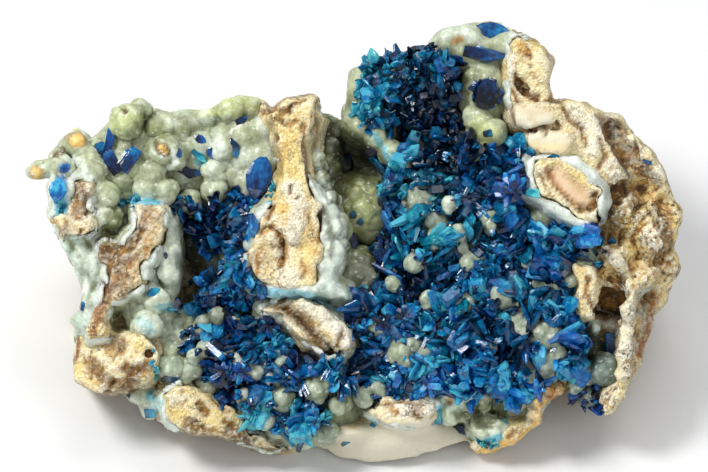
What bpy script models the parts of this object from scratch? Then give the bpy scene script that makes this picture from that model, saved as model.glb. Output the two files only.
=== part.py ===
"""Veszelyite on hemimorphite: a thumb sized mineral specimen, in metres, +Z up.

A weathered cream and brown rock carries a botryoidal hemimorphite crust, and
blue veszelyite crystals grow on both. The specimen lies back on a flat, with
its crystal face tilted up at the viewer. Its forms are set out on that face:
u to the right and v down in steps of FACE_STEP, and w in millimetres out of
the face. The origin is on the resting flat, below the middle of the whole.
"""

import math
import random

import bmesh
import bpy
from mathutils import Matrix, Vector
from mathutils.bvhtree import BVHTree

MM = 0.001

# The face plane, its tilt and how its steps spread away from the viewer
FACE_STEP = 0.0461 * MM
FACE_MIDDLE_U = 354.0
FACE_MIDDLE_V = 236.0
FACE_TILT = math.radians(50.0)
FACE_CENTRE = Vector((-0.25 * MM, -1.45 * MM, 8.20 * MM))
VIEW_DISTANCE = 250.0 * MM
# The finished pieces move by this, which sets the origin below their middle
ORIGIN_SHIFT = Vector((0.022 * MM, -0.320 * MM, 0.0))

# Sizes that hold for the whole specimen
GAP = 0.30 * MM
ROCK_VOXEL = 0.36 * MM
CRUST_VOXEL = 0.30 * MM
CUTTER_VOXEL = 0.28 * MM
SKIN_VOXEL = 0.24 * MM
FRONT_CAP = 7.0
BACK_CAP = -14.0
ROCK_ROUGHNESS = 0.42 * MM
DRUSE_ROUGHNESS = 0.50 * MM

# Faces kept in each solid after thinning
ROCK_FACES = 1850
CUTTER_FACES = 6000

AXIS_RIGHT = Vector((1.0, 0.0, 0.0))
AXIS_UP = Vector((0.0, math.sin(FACE_TILT), math.cos(FACE_TILT)))
AXIS_OUT = Vector((0.0, -math.cos(FACE_TILT), math.sin(FACE_TILT)))

# The outline of the specimen on its face, as u and v
OUTLINE = [
    (33, 172), (44, 157), (58, 149), (66, 135), (77, 127), (92, 140), (108, 125),
    (113, 108), (126, 100), (142, 100), (164, 112), (205, 111), (242, 95), (264, 100),
    (270, 109), (289, 97), (313, 94), (321, 99), (316, 112), (343, 122), (346, 104),
    (351, 69), (375, 64), (400, 54), (422, 47), (441, 30), (459, 25), (482, 21),
    (490, 16), (509, 29), (526, 34), (545, 50), (554, 60), (547, 79), (553, 99),
    (586, 102), (594, 109), (620, 114), (638, 138), (653, 149), (667, 176), (676, 200),
    (684, 210), (677, 234), (674, 247), (682, 268), (669, 294), (667, 303), (654, 317),
    (653, 327), (644, 351), (644, 361), (629, 385), (609, 414), (597, 415), (576, 401),
    (566, 389), (562, 397), (541, 409), (541, 423), (514, 444), (488, 456), (474, 456),
    (466, 443), (430, 456), (400, 464), (370, 466), (340, 460), (318, 445), (304, 449),
    (289, 453), (265, 455), (251, 450), (223, 438), (191, 436), (174, 431), (155, 422),
    (146, 416), (140, 406), (129, 398), (122, 391), (112, 395), (100, 394), (74, 382),
    (72, 351), (77, 328), (70, 320), (81, 309), (84, 295), (80, 278), (70, 259),
    (57, 235), (47, 212), (50, 195), (44, 184),
]

# Rock lumps as u, v, w and their half sizes: first the mass behind the face
ROCK_MASS = [
    (175, 285, -7.0, 120, 125, 3.2), (130, 330, -4.2, 66, 75, 2.5),
    (100, 235, -3.6, 55, 80, 2.1), (200, 185, -6.0, 125, 85, 2.3),
    (250, 360, -4.6, 130, 80, 2.4), (330, 300, -7.4, 170, 150, 3.3),
    (300, 175, -7.4, 95, 85, 2.3), (470, 300, -6.2, 150, 135, 3.6),
    (482, 125, -5.3, 85, 100, 2.7), (150, 150, -4.6, 85, 45, 2.2),
    (250, 150, -4.8, 60, 50, 2.2),
    (575, 250, -4.6, 95, 145, 4.1), (620, 265, -3.4, 62, 125, 2.7),
    (600, 165, -3.2, 62, 65, 2.6), (330, 280, -9.0, 210, 120, 2.6),
    (440, 240, -9.0, 170, 120, 2.4), (250, 400, -3.6, 95, 50, 2.0),
    (420, 400, -4.4, 110, 55, 2.4),
]
# Then the flanks of the wall left of the middle and of the chunk below it
ROCK_WALL = [
    (296, 106, 0.2, 24, 16, 2.1), (312, 104, 0.0, 10, 12, 1.8), (295, 135, 0.3, 16, 28, 2.2),
    (293, 168, 0.5, 16, 28, 2.2),
    (292, 205, 0.7, 30, 24, 2.2), (288, 235, 0.9, 37, 26, 2.3), (298, 262, 0.8, 33, 22, 2.2),
    (296, 130, -3.2, 19, 40, 3.4), (290, 215, -3.0, 38, 60, 3.6),
    (298, 320, -0.4, 24, 18, 1.8), (318, 335, 0.1, 27, 22, 1.8), (338, 348, 0.0, 14, 14, 1.6),
    (310, 330, -2.8, 40, 32, 2.2),
]
# The flanks of the brown section at the far left, the lower left mass and its block
ROCK_LEFT = [
    (80, 192, -0.2, 11, 18, 1.2), (78, 216, -0.3, 13, 16, 1.3), (62, 226, -0.9, 12, 14, 1.1),
    (104, 250, -0.4, 12, 13, 1.5), (124, 256, -0.4, 18, 12, 1.6), (146, 240, -0.4, 14, 16, 1.6),
    (150, 220, -0.4, 13, 13, 1.5), (122, 276, -0.4, 14, 16, 1.5), (106, 298, -0.5, 12, 16, 1.4),
    (95, 328, -0.6, 15, 13, 1.4), (112, 352, -0.8, 34, 22, 1.6), (142, 350, -0.6, 16, 19, 1.6),
    (92, 370, -1.2, 22, 18, 1.6), (120, 378, -1.4, 24, 15, 1.5), (86, 350, -1.4, 16, 22, 1.6),
    (190, 408, -0.6, 30, 20, 1.5), (222, 418, -0.8, 34, 18, 1.4), (256, 436, -1.2, 32, 14, 1.2),
    (185, 425, -1.8, 28, 14, 1.4), (280, 446, -2.0, 30, 10, 1.1),
]
# The bottom edge with its smooth foot, and the ochre corner
ROCK_BOTTOM = [
    (408, 414, -0.8, 32, 14, 1.3), (350, 432, -1.2, 22, 10, 1.1), (392, 436, -2.6, 80, 28, 1.9),
    (360, 446, -3.0, 48, 20, 1.7), (515, 432, -1.6, 38, 16, 1.3), (488, 447, -2.0, 24, 10, 1.1),
    (540, 410, -0.8, 14, 20, 1.3), (553, 395, -0.2, 17, 15, 1.4), (470, 420, -4.2, 60, 32, 2.0),
]
# The mass under the granular edge, the plates, the plateau and the ringed
# hollow, then the ridges and hollows that fall away to the right
ROCK_RIGHT = [
    (528, 62, -1.2, 26, 34, 1.9), (522, 92, -1.0, 22, 18, 1.8), (470, 45, -2.2, 45, 24, 1.5),
    (532, 117, -0.6, 24, 15, 1.7), (552, 138, -0.6, 26, 15, 1.7), (582, 128, -1.0, 34, 26, 1.9),
    (608, 150, -1.3, 34, 32, 1.9), (568, 184, -0.5, 44, 28, 2.0), (586, 200, -0.6, 30, 24, 1.9),
    (612, 122, -0.9, 13, 14, 1.8), (628, 136, -1.2, 14, 16, 1.8), (645, 156, -1.4, 13, 18, 1.8),
    (658, 180, -1.6, 14, 20, 1.8), (622, 212, -1.2, 28, 32, 2.0), (650, 206, -1.6, 12, 14, 2.0),
    (668, 222, -2.2, 13, 22, 2.0), (650, 238, -1.2, 13, 18, 2.0), (668, 262, -2.4, 13, 26, 2.0),
    (640, 278, -1.2, 20, 15, 2.0), (612, 256, -1.0, 18, 20, 2.0), (590, 292, -1.0, 16, 26, 1.8),
    (624, 300, -1.1, 10, 26, 1.8), (626, 352, -1.1, 10, 40, 1.8), (646, 322, -2.0, 16, 26, 1.7),
    (640, 362, -2.4, 14, 24, 1.7), (614, 398, -1.2, 18, 18, 1.4), (612, 355, -3.6, 42, 55, 1.8),
]
# The flanks lie this much lower than the sections that stand on them
FLANK_DROP = 0.7
ROCK_FLANKS = [(u, v, w - FLANK_DROP, a, b, c) for u, v, w, a, b, c in ROCK_WALL + ROCK_LEFT]
ROCK_LUMPS = ROCK_MASS + ROCK_FLANKS + ROCK_BOTTOM + ROCK_RIGHT

# Sections where the rock is broken flat across: the heights of the left and
# the right end, and the outline as u and v
SECTION_ROOT = -3.6
ROCK_SECTIONS = [
    # The wall left of the middle, and the chunk below it
    (2.2, 2.0, [
        (271, 103), (282, 97), (302, 95), (316, 99), (314, 112), (308, 128), (306, 150), (309, 172),
        (314, 194), (320, 208), (321, 222), (321, 245), (320, 264), (319, 283), (306, 288), (280, 288),
        (262, 281), (252, 270), (250, 253), (254, 238), (258, 226), (262, 212), (271, 203), (280, 196),
        (284, 183), (283, 162), (280, 140), (276, 127), (267, 116),
    ]),
    (1.6, 1.5, [
        (265, 309), (280, 301), (298, 300), (315, 309), (332, 320), (345, 333), (346, 348), (339, 357),
        (328, 355), (315, 346), (302, 337), (289, 327), (280, 314),
    ]),
    # The arm, the branching section and its ribbon at the far left
    (0.6, 1.0, [
        (74, 180), (89, 182), (88, 194), (84, 206), (92, 218), (93, 230), (87, 234), (75, 234),
        (66, 237), (64, 245), (56, 236), (58, 226), (49, 222), (50, 216), (66, 217), (70, 206),
    ]),
    (1.0, 1.3, [
        (138, 208), (161, 210), (161, 224), (158, 244), (150, 256), (141, 267), (142, 281), (135, 290),
        (121, 298), (100, 300), (107, 283), (108, 266), (99, 255), (97, 243), (107, 242), (121, 244),
        (123, 238), (132, 229), (137, 218),
    ]),
    (0.7, 0.9, [
        (104, 284), (114, 284), (110, 300), (102, 320), (104, 336), (90, 340), (86, 330), (92, 318),
        (98, 302),
    ]),
    # The lower left mass and the block on the bottom edge
    (0.3, 0.9, [
        (84, 367), (91, 359), (114, 358), (115, 338), (130, 334), (150, 340), (157, 351), (157, 363),
        (152, 376), (142, 383), (129, 382), (120, 394), (105, 395), (84, 386), (73, 383), (72, 370),
    ]),
    (1.0, -0.5, [
        (163, 396), (176, 386), (193, 391), (211, 402), (228, 407), (243, 420), (250, 433), (263, 439),
        (280, 448), (290, 453), (267, 455), (237, 444), (206, 437), (180, 433), (167, 418),
    ]),
    # The lump on the bottom edge
    (0.5, 0.6, [
        (372, 412), (385, 402), (405, 398), (425, 398), (436, 404), (430, 418), (410, 424), (388, 422),
    ]),
    # The granular edge of the upper right block, and its two smooth plates
    (1.2, 1.0, [
        (512, 36), (519, 34), (532, 42), (543, 53), (553, 64), (548, 84), (552, 100), (530, 106),
        (514, 112), (510, 96), (510, 75), (512, 53),
    ]),
    (1.8, 1.9, [
        (513, 110), (525, 104), (545, 106), (556, 114), (556, 124), (540, 127), (522, 130), (514, 122),
    ]),
    (1.8, 1.9, [
        (526, 134), (548, 129), (566, 132), (574, 142), (568, 154), (548, 154), (532, 148),
    ]),
    # The plateau, which falls to the right, and the rim of the ringed hollow
    (1.9, 0.8, [
        (549, 101), (564, 103), (583, 102), (594, 109), (602, 119), (607, 132), (612, 142), (623, 155),
        (632, 166), (640, 176), (628, 184), (612, 184), (600, 176), (586, 164), (572, 156), (574, 142),
        (562, 128), (556, 114),
    ]),
    (2.3, 2.2, [
        (527, 162), (533, 156), (549, 156), (565, 160), (580, 170), (592, 180), (601, 192), (604, 204),
        (601, 214), (588, 224), (572, 221), (557, 211), (540, 205), (528, 194), (525, 177),
    ]),
    # The porous block right of the blue field
    (1.3, 1.4, [
        (576, 266), (591, 268), (597, 284), (593, 300), (595, 318), (581, 319), (575, 300), (578, 284),
    ]),
]

# The balls of the crust stand this much further out than their sheets
BALL_LIFT = 0.30

# Hemimorphite at the left: sheets under the crust, then its balls and knobs
LEFT_SHEETS = [
    (112, 165, -1.9, 62, 45, 1.5), (180, 150, -1.9, 70, 45, 1.6), (245, 150, -1.7, 55, 55, 1.7),
    (95, 210, -1.8, 42, 50, 1.4), (78, 290, -1.4, 16, 48, 1.4), (170, 255, -1.5, 12, 50, 2.0),
    (150, 305, -1.6, 28, 40, 1.8), (185, 350, -2.2, 60, 45, 1.7), (240, 330, -2.6, 70, 50, 1.8),
    (270, 390, -2.0, 75, 48, 1.7), (215, 215, -3.6, 42, 60, 1.2), (262, 300, -2.2, 36, 30, 1.8),
    (315, 405, -1.8, 50, 40, 1.5), (150, 400, -2.0, 28, 20, 1.3), (300, 430, -2.0, 36, 22, 1.2),
]
LEFT_BALLS = [
    (35, 172, -1.2, 9), (49, 167, -1.2, 10), (76, 142, -0.8, 13), (60, 156, -1.2, 9),
    (97, 150, -1.4, 13), (126, 121, -0.6, 17), (143, 108, -0.9, 12), (162, 125, -1.1, 16),
    (186, 125, -1.1, 15), (208, 112, -1.0, 13), (230, 108, -0.8, 15), (251, 106, -0.9, 13),
    (164, 150, -0.2, 15), (175, 161, -0.4, 11), (152, 172, -0.3, 13), (147, 189, -0.4, 12),
    (165, 190, -0.4, 13), (92, 172, -0.6, 15), (104, 196, -0.5, 15), (108, 217, -0.5, 13),
    (62, 168, -0.4, 12), (60, 190, -0.4, 16), (62, 206, -0.6, 12), (86, 158, -0.6, 12),
    (200, 146, -0.9, 15), (222, 147, -0.6, 13), (240, 134, -0.9, 17), (264, 130, -0.5, 15),
    (262, 158, -0.6, 17), (250, 182, -0.9, 16), (214, 172, -0.7, 12), (214, 190, -0.8, 13),
    (188, 203, -1.2, 13), (232, 238, -1.9, 12), (230, 258, -2.0, 11), (168, 225, -0.2, 10),
    (172, 250, -0.2, 10), (170, 275, -0.3, 11), (156, 300, -0.2, 13), (146, 325, -0.2, 15),
    (78, 250, -0.6, 14), (76, 275, -0.6, 14), (88, 262, -0.5, 11), (90, 300, -0.7, 12),
    (86, 318, -0.7, 12), (268, 322, -0.6, 17), (262, 300, -0.9, 12), (190, 365, -0.8, 14),
    (175, 352, -1.0, 13), (222, 340, -1.0, 17), (245, 358, -0.9, 15), (290, 405, -0.6, 15),
    (312, 380, -0.7, 15), (268, 385, -0.9, 13), (340, 400, -0.8, 14), (280, 425, -1.0, 15),
    (316, 432, -1.1, 14), (160, 398, -1.3, 12), (232, 375, -1.0, 14), (205, 385, -1.0, 12),
]
# The lining of the deep cavity, with the rind down the wall's right side
CAVITY_SHEETS = [
    (332, 140, -4.2, 38, 42, 1.2), (360, 190, -4.0, 50, 55, 1.3), (365, 265, -3.2, 45, 50, 1.4),
    (330, 170, -3.2, 14, 50, 1.6), (345, 300, -2.4, 34, 26, 1.6), (392, 205, -3.2, 30, 40, 1.3),
]
CAVITY_BALLS = [
    (328, 122, -3.2, 24), (362, 208, -2.6, 38), (355, 274, -1.7, 28), (383, 300, -1.7, 18),
    (324, 190, -2.2, 14), (326, 288, -0.6, 13), (342, 295, -0.6, 15), (350, 312, -0.8, 14),
    (388, 250, -2.4, 20), (395, 185, -2.6, 18),
]
CAVITY_RIND = [
    (322, 118, 0.2, 7), (316, 138, 0.3, 7), (318, 158, 0.4, 7), (323, 178, 0.5, 7),
    (331, 200, 0.6, 8), (339, 222, 0.6, 8), (341, 244, 0.5, 8), (336, 268, 0.2, 9),
]
# The slab of the upper right block and the ridge that runs down from it
SLAB_SHEETS = [
    (468, 48, -1.3, 42, 28, 1.6), (484, 92, -1.2, 26, 48, 1.7), (484, 135, -1.1, 24, 26, 1.6),
    (400, 80, -2.4, 55, 36, 1.4), (372, 130, -2.2, 32, 20, 1.6), (420, 125, -3.8, 50, 45, 1.2),
    (360, 95, -1.9, 16, 35, 1.5),
]
SLAB_BALLS = [
    (350, 118, -1.2, 9), (360, 126, -1.0, 12), (376, 138, -1.0, 13), (390, 152, -1.0, 13),
    (402, 166, -1.1, 12), (450, 38, -0.6, 14), (468, 38, -0.4, 14), (440, 60, -0.9, 14),
    (500, 45, -0.6, 14), (478, 118, -0.2, 14), (492, 132, -0.2, 15), (478, 150, -0.4, 13),
]
# The pale lobes along the lower edge, and those round the right hollow
LOWER_SHEETS = [
    (455, 402, -1.9, 34, 22, 1.3), (505, 405, -2.1, 46, 16, 1.3), (492, 428, -2.1, 30, 16, 1.2),
    (430, 405, -2.2, 28, 18, 1.2),
]
LOWER_BALLS = [
    (448, 392, -0.8, 13), (462, 398, -0.7, 14), (452, 412, -0.9, 13), (482, 400, -1.1, 12),
    (520, 398, -1.0, 13), (536, 385, -0.9, 12), (484, 426, -1.2, 13), (498, 428, -1.2, 14),
]
RIGHT_SHEETS = [
    (590, 345, -2.6, 26, 30, 1.3), (598, 378, -2.3, 32, 26, 1.3),
]
RIGHT_BALLS = [
    (594, 328, -0.9, 8), (586, 372, -0.9, 12), (606, 370, -0.8, 17), (575, 384, -0.8, 9),
    (590, 398, -1.3, 12),
]

# Pale balls that break through the blue field, from the crust under it
FIELD_BALLS = [
    (419, 199, -0.8, 17), (437, 225, -0.7, 15), (545, 216, -0.1, 14), (504, 298, -0.1, 13),
    (523, 331, -0.1, 16), (544, 334, 0.0, 17), (538, 286, -0.1, 13), (543, 370, -0.3, 15),
    (396, 345, -0.7, 13), (424, 352, -0.4, 13), (492, 222, -0.2, 12), (465, 250, -0.3, 11),
    (570, 215, 0.0, 13), (585, 262, -0.2, 12),
]
# The crust under the field lies this much deeper than the field itself
FIELD_CRUST_DEPTH = 0.95

# Veszelyite: the pads that the blades stand on
FIELD_PAD = [
    (425, 190, -2.0, 42, 40, 1.4), (480, 185, -1.5, 50, 42, 1.5), (520, 180, -1.0, 26, 38, 1.5),
    (420, 250, -2.0, 46, 46, 1.4), (480, 250, -1.3, 60, 50, 1.6), (545, 250, -1.0, 44, 46, 1.6),
    (400, 320, -1.5, 50, 40, 1.5), (460, 320, -1.2, 60, 44, 1.6), (530, 320, -1.0, 52, 46, 1.6),
    (390, 372, -1.5, 46, 32, 1.4), (450, 372, -1.3, 50, 26, 1.5), (510, 375, -1.2, 44, 26, 1.5),
    (565, 340, -1.2, 24, 36, 1.4),
]
UPPER_PAD = [
    (372, 90, -0.9, 20, 26, 1.0), (392, 76, -0.9, 24, 18, 1.0), (420, 70, -0.9, 26, 20, 1.1),
    (442, 85, -0.8, 18, 26, 1.1), (412, 108, -1.8, 28, 30, 1.2), (430, 130, -1.9, 28, 28, 1.1),
    (450, 140, -1.6, 20, 24, 1.1), (368, 115, -0.8, 16, 16, 0.9),
]
LOWER_LEFT_PAD = [
    (206, 338, -0.5, 24, 16, 1.1), (232, 366, -0.3, 30, 20, 1.1), (258, 345, -0.4, 26, 22, 1.1),
    (270, 368, -0.2, 26, 18, 1.1), (300, 385, -0.1, 32, 26, 1.1), (332, 378, -0.2, 26, 24, 1.1),
    (300, 415, -0.3, 28, 22, 1.1), (272, 408, -0.3, 24, 20, 1.1), (248, 392, -0.3, 22, 16, 1.1),
]
HOLLOW_PAD = [
    (240, 285, -1.2, 24, 28, 1.2), (222, 300, -1.2, 22, 20, 1.2), (248, 222, -1.0, 18, 16, 1.2),
    (238, 208, -0.8, 20, 14, 1.1), (248, 255, -1.2, 15, 28, 1.3), (214, 232, -2.3, 18, 20, 1.1),
    (232, 232, -1.6, 18, 16, 1.2),
]

FIELD_SHEETS = [(u, v, w - FIELD_CRUST_DEPTH, a, b, c) for u, v, w, a, b, c in FIELD_PAD]

# Sprays of blades as u, v, number, length and width of a blade in millimetres
FIELD_SPRAYS = [
    (402, 178, 2, 1.6, 1.0), (428, 168, 2, 1.6, 1.0), (455, 178, 2, 1.5, 1.0),
    (487, 165, 2, 1.6, 1.1), (517, 145, 2, 1.8, 1.0), (505, 190, 2, 1.9, 1.3),
    (478, 205, 2, 1.6, 1.1), (447, 212, 2, 1.5, 1.0), (412, 225, 2, 1.5, 1.0),
    (392, 240, 2, 1.8, 1.1), (478, 245, 2, 1.6, 1.1),
    (512, 238, 2, 1.6, 1.1), (545, 232, 2, 1.5, 1.1), (565, 252, 2, 1.8, 1.3),
    (542, 270, 2, 1.5, 1.0), (500, 278, 2, 1.5, 1.0),
    (412, 285, 2, 1.5, 1.0), (385, 315, 2, 1.5, 1.0), (425, 325, 2, 1.5, 1.0),
    (468, 320, 2, 1.5, 1.0), (560, 305, 2, 1.5, 1.0),
    (572, 345, 2, 1.5, 1.0), (535, 352, 2, 1.5, 1.0), (490, 360, 2, 1.5, 1.0),
    (450, 365, 2, 1.5, 1.0), (405, 360, 2, 1.5, 1.0), (370, 365, 2, 1.5, 1.0),
    (430, 390, 2, 1.5, 0.9), (508, 388, 2, 1.5, 1.0), (395, 395, 2, 1.5, 0.9),
]
UPPER_SPRAYS = [
    (362, 82, 2, 1.5, 0.9), (376, 100, 2, 1.5, 1.0), (395, 68, 2, 1.5, 0.9),
    (420, 58, 2, 1.5, 0.9), (442, 72, 2, 1.5, 1.0), (448, 95, 2, 1.6, 1.0),
    (405, 92, 2, 1.5, 1.0), (425, 120, 2, 1.6, 1.0), (455, 135, 2, 1.6, 1.0),
    (368, 118, 2, 1.4, 0.9),
]
LOWER_LEFT_SPRAYS = [
    (200, 338, 2, 1.5, 0.9), (228, 372, 2, 1.6, 1.1), (250, 370, 2, 1.5, 1.0),
    (262, 345, 2, 1.5, 1.0), (292, 368, 2, 1.5, 0.9), (310, 385, 2, 1.5, 1.0),
    (335, 372, 2, 1.5, 1.0), (300, 412, 2, 1.5, 0.9), (268, 408, 2, 1.4, 0.9),
]
HOLLOW_SPRAYS = [
    (240, 285, 2, 1.6, 1.1), (225, 300, 2, 1.5, 1.0), (246, 222, 2, 1.4, 0.9),
    (228, 208, 2, 1.4, 0.9), (212, 230, 2, 1.8, 1.0),
]

# Single crystals as u and v, length, width and thickness in millimetres, the
# turn of the length from upright in degrees, and a further lift in millimetres
SINGLE_CRYSTALS = {
    "veszelyite_lens_crystal": (259, 177, 1.95, 1.10, 0.8, -12, 0.0),
    "veszelyite_bar_crystal": (484, 56, 1.85, 0.75, 0.7, 105, 0.0),
    "veszelyite_tip_crystal": (492, 32, 1.50, 0.75, 0.7, 95, 0.0),
    "veszelyite_disc_crystal": (486, 95, 1.50, 1.45, 0.7, 20, 0.0),
    "veszelyite_far_left_crystal": (58, 190, 1.05, 0.80, 0.7, 8, 0.0),
    "veszelyite_prism_crystal": (124, 163, 1.30, 1.40, 1.0, -35, 0.0),
    "veszelyite_cavity_crystal_upper": (345, 166, 1.45, 1.50, 1.2, 15, 0.0),
    "veszelyite_cavity_crystal_lower": (350, 243, 1.10, 0.95, 0.9, 5, 0.0),
    "veszelyite_teal_eye_crystal": (153, 292, 0.75, 0.55, 0.6, 60, 0.0),
    "veszelyite_right_hollow_crystal": (611, 345, 1.10, 0.65, 0.8, 0, 0.4),
}
# The share of its thickness that a single crystal's middle stands proud by
CRYSTAL_LIFT = 0.15


def face_point(u, v, w):
    """Return the world place of a point of the face, w millimetres out."""
    height = w * MM
    spread = (1.0 - height / VIEW_DISTANCE) * FACE_STEP
    across = AXIS_RIGHT * ((u - FACE_MIDDLE_U) * spread)
    upward = AXIS_UP * ((FACE_MIDDLE_V - v) * spread)
    return FACE_CENTRE + across + upward + AXIS_OUT * height


def axes_matrix(right, up, out, place):
    """Return the matrix of a frame from its three axes and its place."""
    rotation = Matrix((right, up, out)).transposed().to_4x4()
    return Matrix.Translation(place) @ rotation


FACE_FRAME = Matrix((AXIS_RIGHT, AXIS_UP, AXIS_OUT)).transposed().to_4x4()


def clear_scene():
    """Remove every object that the scene starts with."""
    for thing in list(bpy.data.objects):
        bpy.data.objects.remove(thing, do_unlink=True)


def new_collection(name):
    """Return a new collection in the scene."""
    collection = bpy.data.collections.new(name)
    bpy.context.scene.collection.children.link(collection)
    return collection


def new_object(name, bm, collection):
    """Turn a bmesh into an object of the collection."""
    mesh = bpy.data.meshes.new(name)
    bm.to_mesh(mesh)
    bm.free()
    thing = bpy.data.objects.new(name, mesh)
    collection.objects.link(thing)
    return thing


def settle(thing):
    """Replace the object's mesh by the mesh that its modifiers make."""
    graph = bpy.context.evaluated_depsgraph_get()
    mesh = bpy.data.meshes.new_from_object(thing.evaluated_get(graph))
    thing.modifiers.clear()
    thing.data = mesh


def body_volume(body):
    """Return the volume that a connected set of vertices encloses."""
    faces = {face for vertex in body for face in vertex.link_faces}
    volume = 0.0
    for face in faces:
        first = face.verts[0].co
        for second, third in zip(face.verts[1:], face.verts[2:]):
            volume += first.dot(second.co.cross(third.co)) / 6.0
    return volume


def keep_largest(thing):
    """Keep only the largest connected body of the object's mesh."""
    bm = bmesh.new()
    bm.from_mesh(thing.data)
    left = set(bm.verts)
    bodies = []
    while left:
        seed = left.pop()
        body = {seed}
        front = [seed]
        while front:
            vertex = front.pop()
            for edge in vertex.link_edges:
                other = edge.other_vert(vertex)
                if other in left:
                    left.remove(other)
                    body.add(other)
                    front.append(other)
        bodies.append(body)
    bodies.sort(key=body_volume)
    small = [vertex for body in bodies[:-1] for vertex in body]
    bmesh.ops.delete(bm, geom=small, context="VERTS")
    bm.to_mesh(thing.data)
    bm.free()


def remesh(thing, voxel):
    """Join what overlaps in the object into one even skin."""
    modifier = thing.modifiers.new("join", "REMESH")
    modifier.mode = "VOXEL"
    modifier.voxel_size = voxel
    settle(thing)


def roughen(thing, strength, scale, seed_shift):
    """Push the skin in and out by a cloud pattern."""
    texture = bpy.data.textures.new(thing.name + "_roughness", "CLOUDS")
    texture.noise_scale = scale
    texture.noise_depth = 3
    guide = bpy.data.objects.new(thing.name + "_guide", None)
    guide.location = Vector((seed_shift, 0.0, 0.0))
    CUTTERS.objects.link(guide)
    modifier = thing.modifiers.new("rough", "DISPLACE")
    modifier.texture = texture
    modifier.texture_coords = "OBJECT"
    modifier.texture_coords_object = guide
    modifier.strength = strength
    modifier.mid_level = 0.5
    settle(thing)


def thin_out(thing, faces):
    """Thin the skin to about the number of triangles given."""
    count = sum(len(polygon.vertices) - 2 for polygon in thing.data.polygons)
    if count > faces:
        modifier = thing.modifiers.new("thin", "DECIMATE")
        modifier.ratio = faces / count
        modifier.use_collapse_triangulate = True
        settle(thing)


def combine(thing, other, operation, own_overlaps=False):
    """Cut, join or intersect the object with another."""
    modifier = thing.modifiers.new("combine", "BOOLEAN")
    modifier.operation = operation
    modifier.solver = "EXACT"
    modifier.use_self = own_overlaps
    modifier.object = other
    settle(thing)


def lumps_object(name, lumps, balls, collection):
    """Make one object of ellipsoid lumps and round balls, still overlapping."""
    bm = bmesh.new()
    round_lumps = [(u, v, w + BALL_LIFT, r, r, r * FACE_STEP / MM) for u, v, w, r in balls]
    for u, v, w, half_u, half_v, half_w in lumps + round_lumps:
        sizes = Matrix.Diagonal((half_u * FACE_STEP, half_v * FACE_STEP, half_w * MM, 1.0))
        place = Matrix.Translation(face_point(u, v, w))
        bmesh.ops.create_icosphere(bm, subdivisions=2, radius=1.0, matrix=place @ FACE_FRAME @ sizes)
    return new_object(name, bm, collection)


def add_sweep(bm, points, root, left_top, right_top):
    """Add the block that an outline sweeps from root to its slanting top."""
    left = min(u for u, _ in points)
    right = max(u for u, _ in points)
    slant = (right_top - left_top) / (right - left)
    back = [bm.verts.new(face_point(u, v, root)) for u, v in points]
    front = [bm.verts.new(face_point(u, v, left_top + slant * (u - left))) for u, v in points]
    faces = [bm.faces.new(back), bm.faces.new(list(reversed(front)))]
    for index in range(len(points)):
        after = (index + 1) % len(points)
        faces.append(bm.faces.new((back[after], back[index], front[index], front[after])))
    bmesh.ops.recalc_face_normals(bm, faces=faces)


def outline_block():
    """Make the block that the outline sweeps from behind the face to before it."""
    bm = bmesh.new()
    add_sweep(bm, OUTLINE, BACK_CAP, FRONT_CAP, FRONT_CAP)
    return new_object("outline_block", bm, CUTTERS)


def ground_block():
    """Make the block that cuts the resting flat."""
    side = 80.0 * MM
    bm = bmesh.new()
    place = Matrix.Translation((0.0, 0.0, -side / 2.0))
    bmesh.ops.create_cube(bm, size=side, matrix=place)
    return new_object("ground_block", bm, CUTTERS)


def swollen(thing):
    """Return the object's form grown by the gap, as a new cutter."""
    copy = bpy.data.objects.new(thing.name + "_swollen", thing.data.copy())
    CUTTERS.objects.link(copy)
    modifier = copy.modifiers.new("swell", "DISPLACE")
    modifier.strength = GAP
    modifier.mid_level = 0.0
    settle(copy)
    remesh(copy, CUTTER_VOXEL)
    keep_largest(copy)
    return copy


def box_of(thing):
    """Return the lowest and highest corners of the object's mesh."""
    places = [vertex.co for vertex in thing.data.vertices]
    low = Vector([min(place[axis] for place in places) for axis in range(3)])
    high = Vector([max(place[axis] for place in places) for axis in range(3)])
    return low, high


def boxes_meet(thing, other):
    """Tell whether the boxes of two objects overlap."""
    low, high = box_of(thing)
    other_low, other_high = box_of(other)
    return all(low[axis] < other_high[axis] and other_low[axis] < high[axis] for axis in range(3))


def clearance_for(thing, swollen_pieces):
    """Join the grown forms near the object into one cutter."""
    bm = bmesh.new()
    for piece in swollen_pieces:
        if boxes_meet(thing, piece):
            bm.from_mesh(piece.data)
    cutter = new_object(thing.name + "_clearance", bm, CUTTERS)
    remesh(cutter, CUTTER_VOXEL)
    thin_out(cutter, CUTTER_FACES)
    return cutter


def cut_clear(thing, cutter, own_overlaps=False):
    """Cut the neighbours' clearance out of the object."""
    combine(thing, cutter, "DIFFERENCE", own_overlaps)
    keep_largest(thing)


def surface_tree(things):
    """Return one search tree over the faces of several objects."""
    vertices = []
    faces = []
    for thing in things:
        start = len(vertices)
        vertices.extend(vertex.co.copy() for vertex in thing.data.vertices)
        faces.extend([start + index for index in polygon.vertices] for polygon in thing.data.polygons)
    return BVHTree.FromPolygons(vertices, faces)


def surface_under(tree, u, v):
    """Return the place and normal where the sight line through u, v lands."""
    start = face_point(u, v, FRONT_CAP)
    aim = (face_point(u, v, BACK_CAP) - start).normalized()
    place, normal, _, _ = tree.ray_cast(start, aim)
    return place, normal


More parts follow.
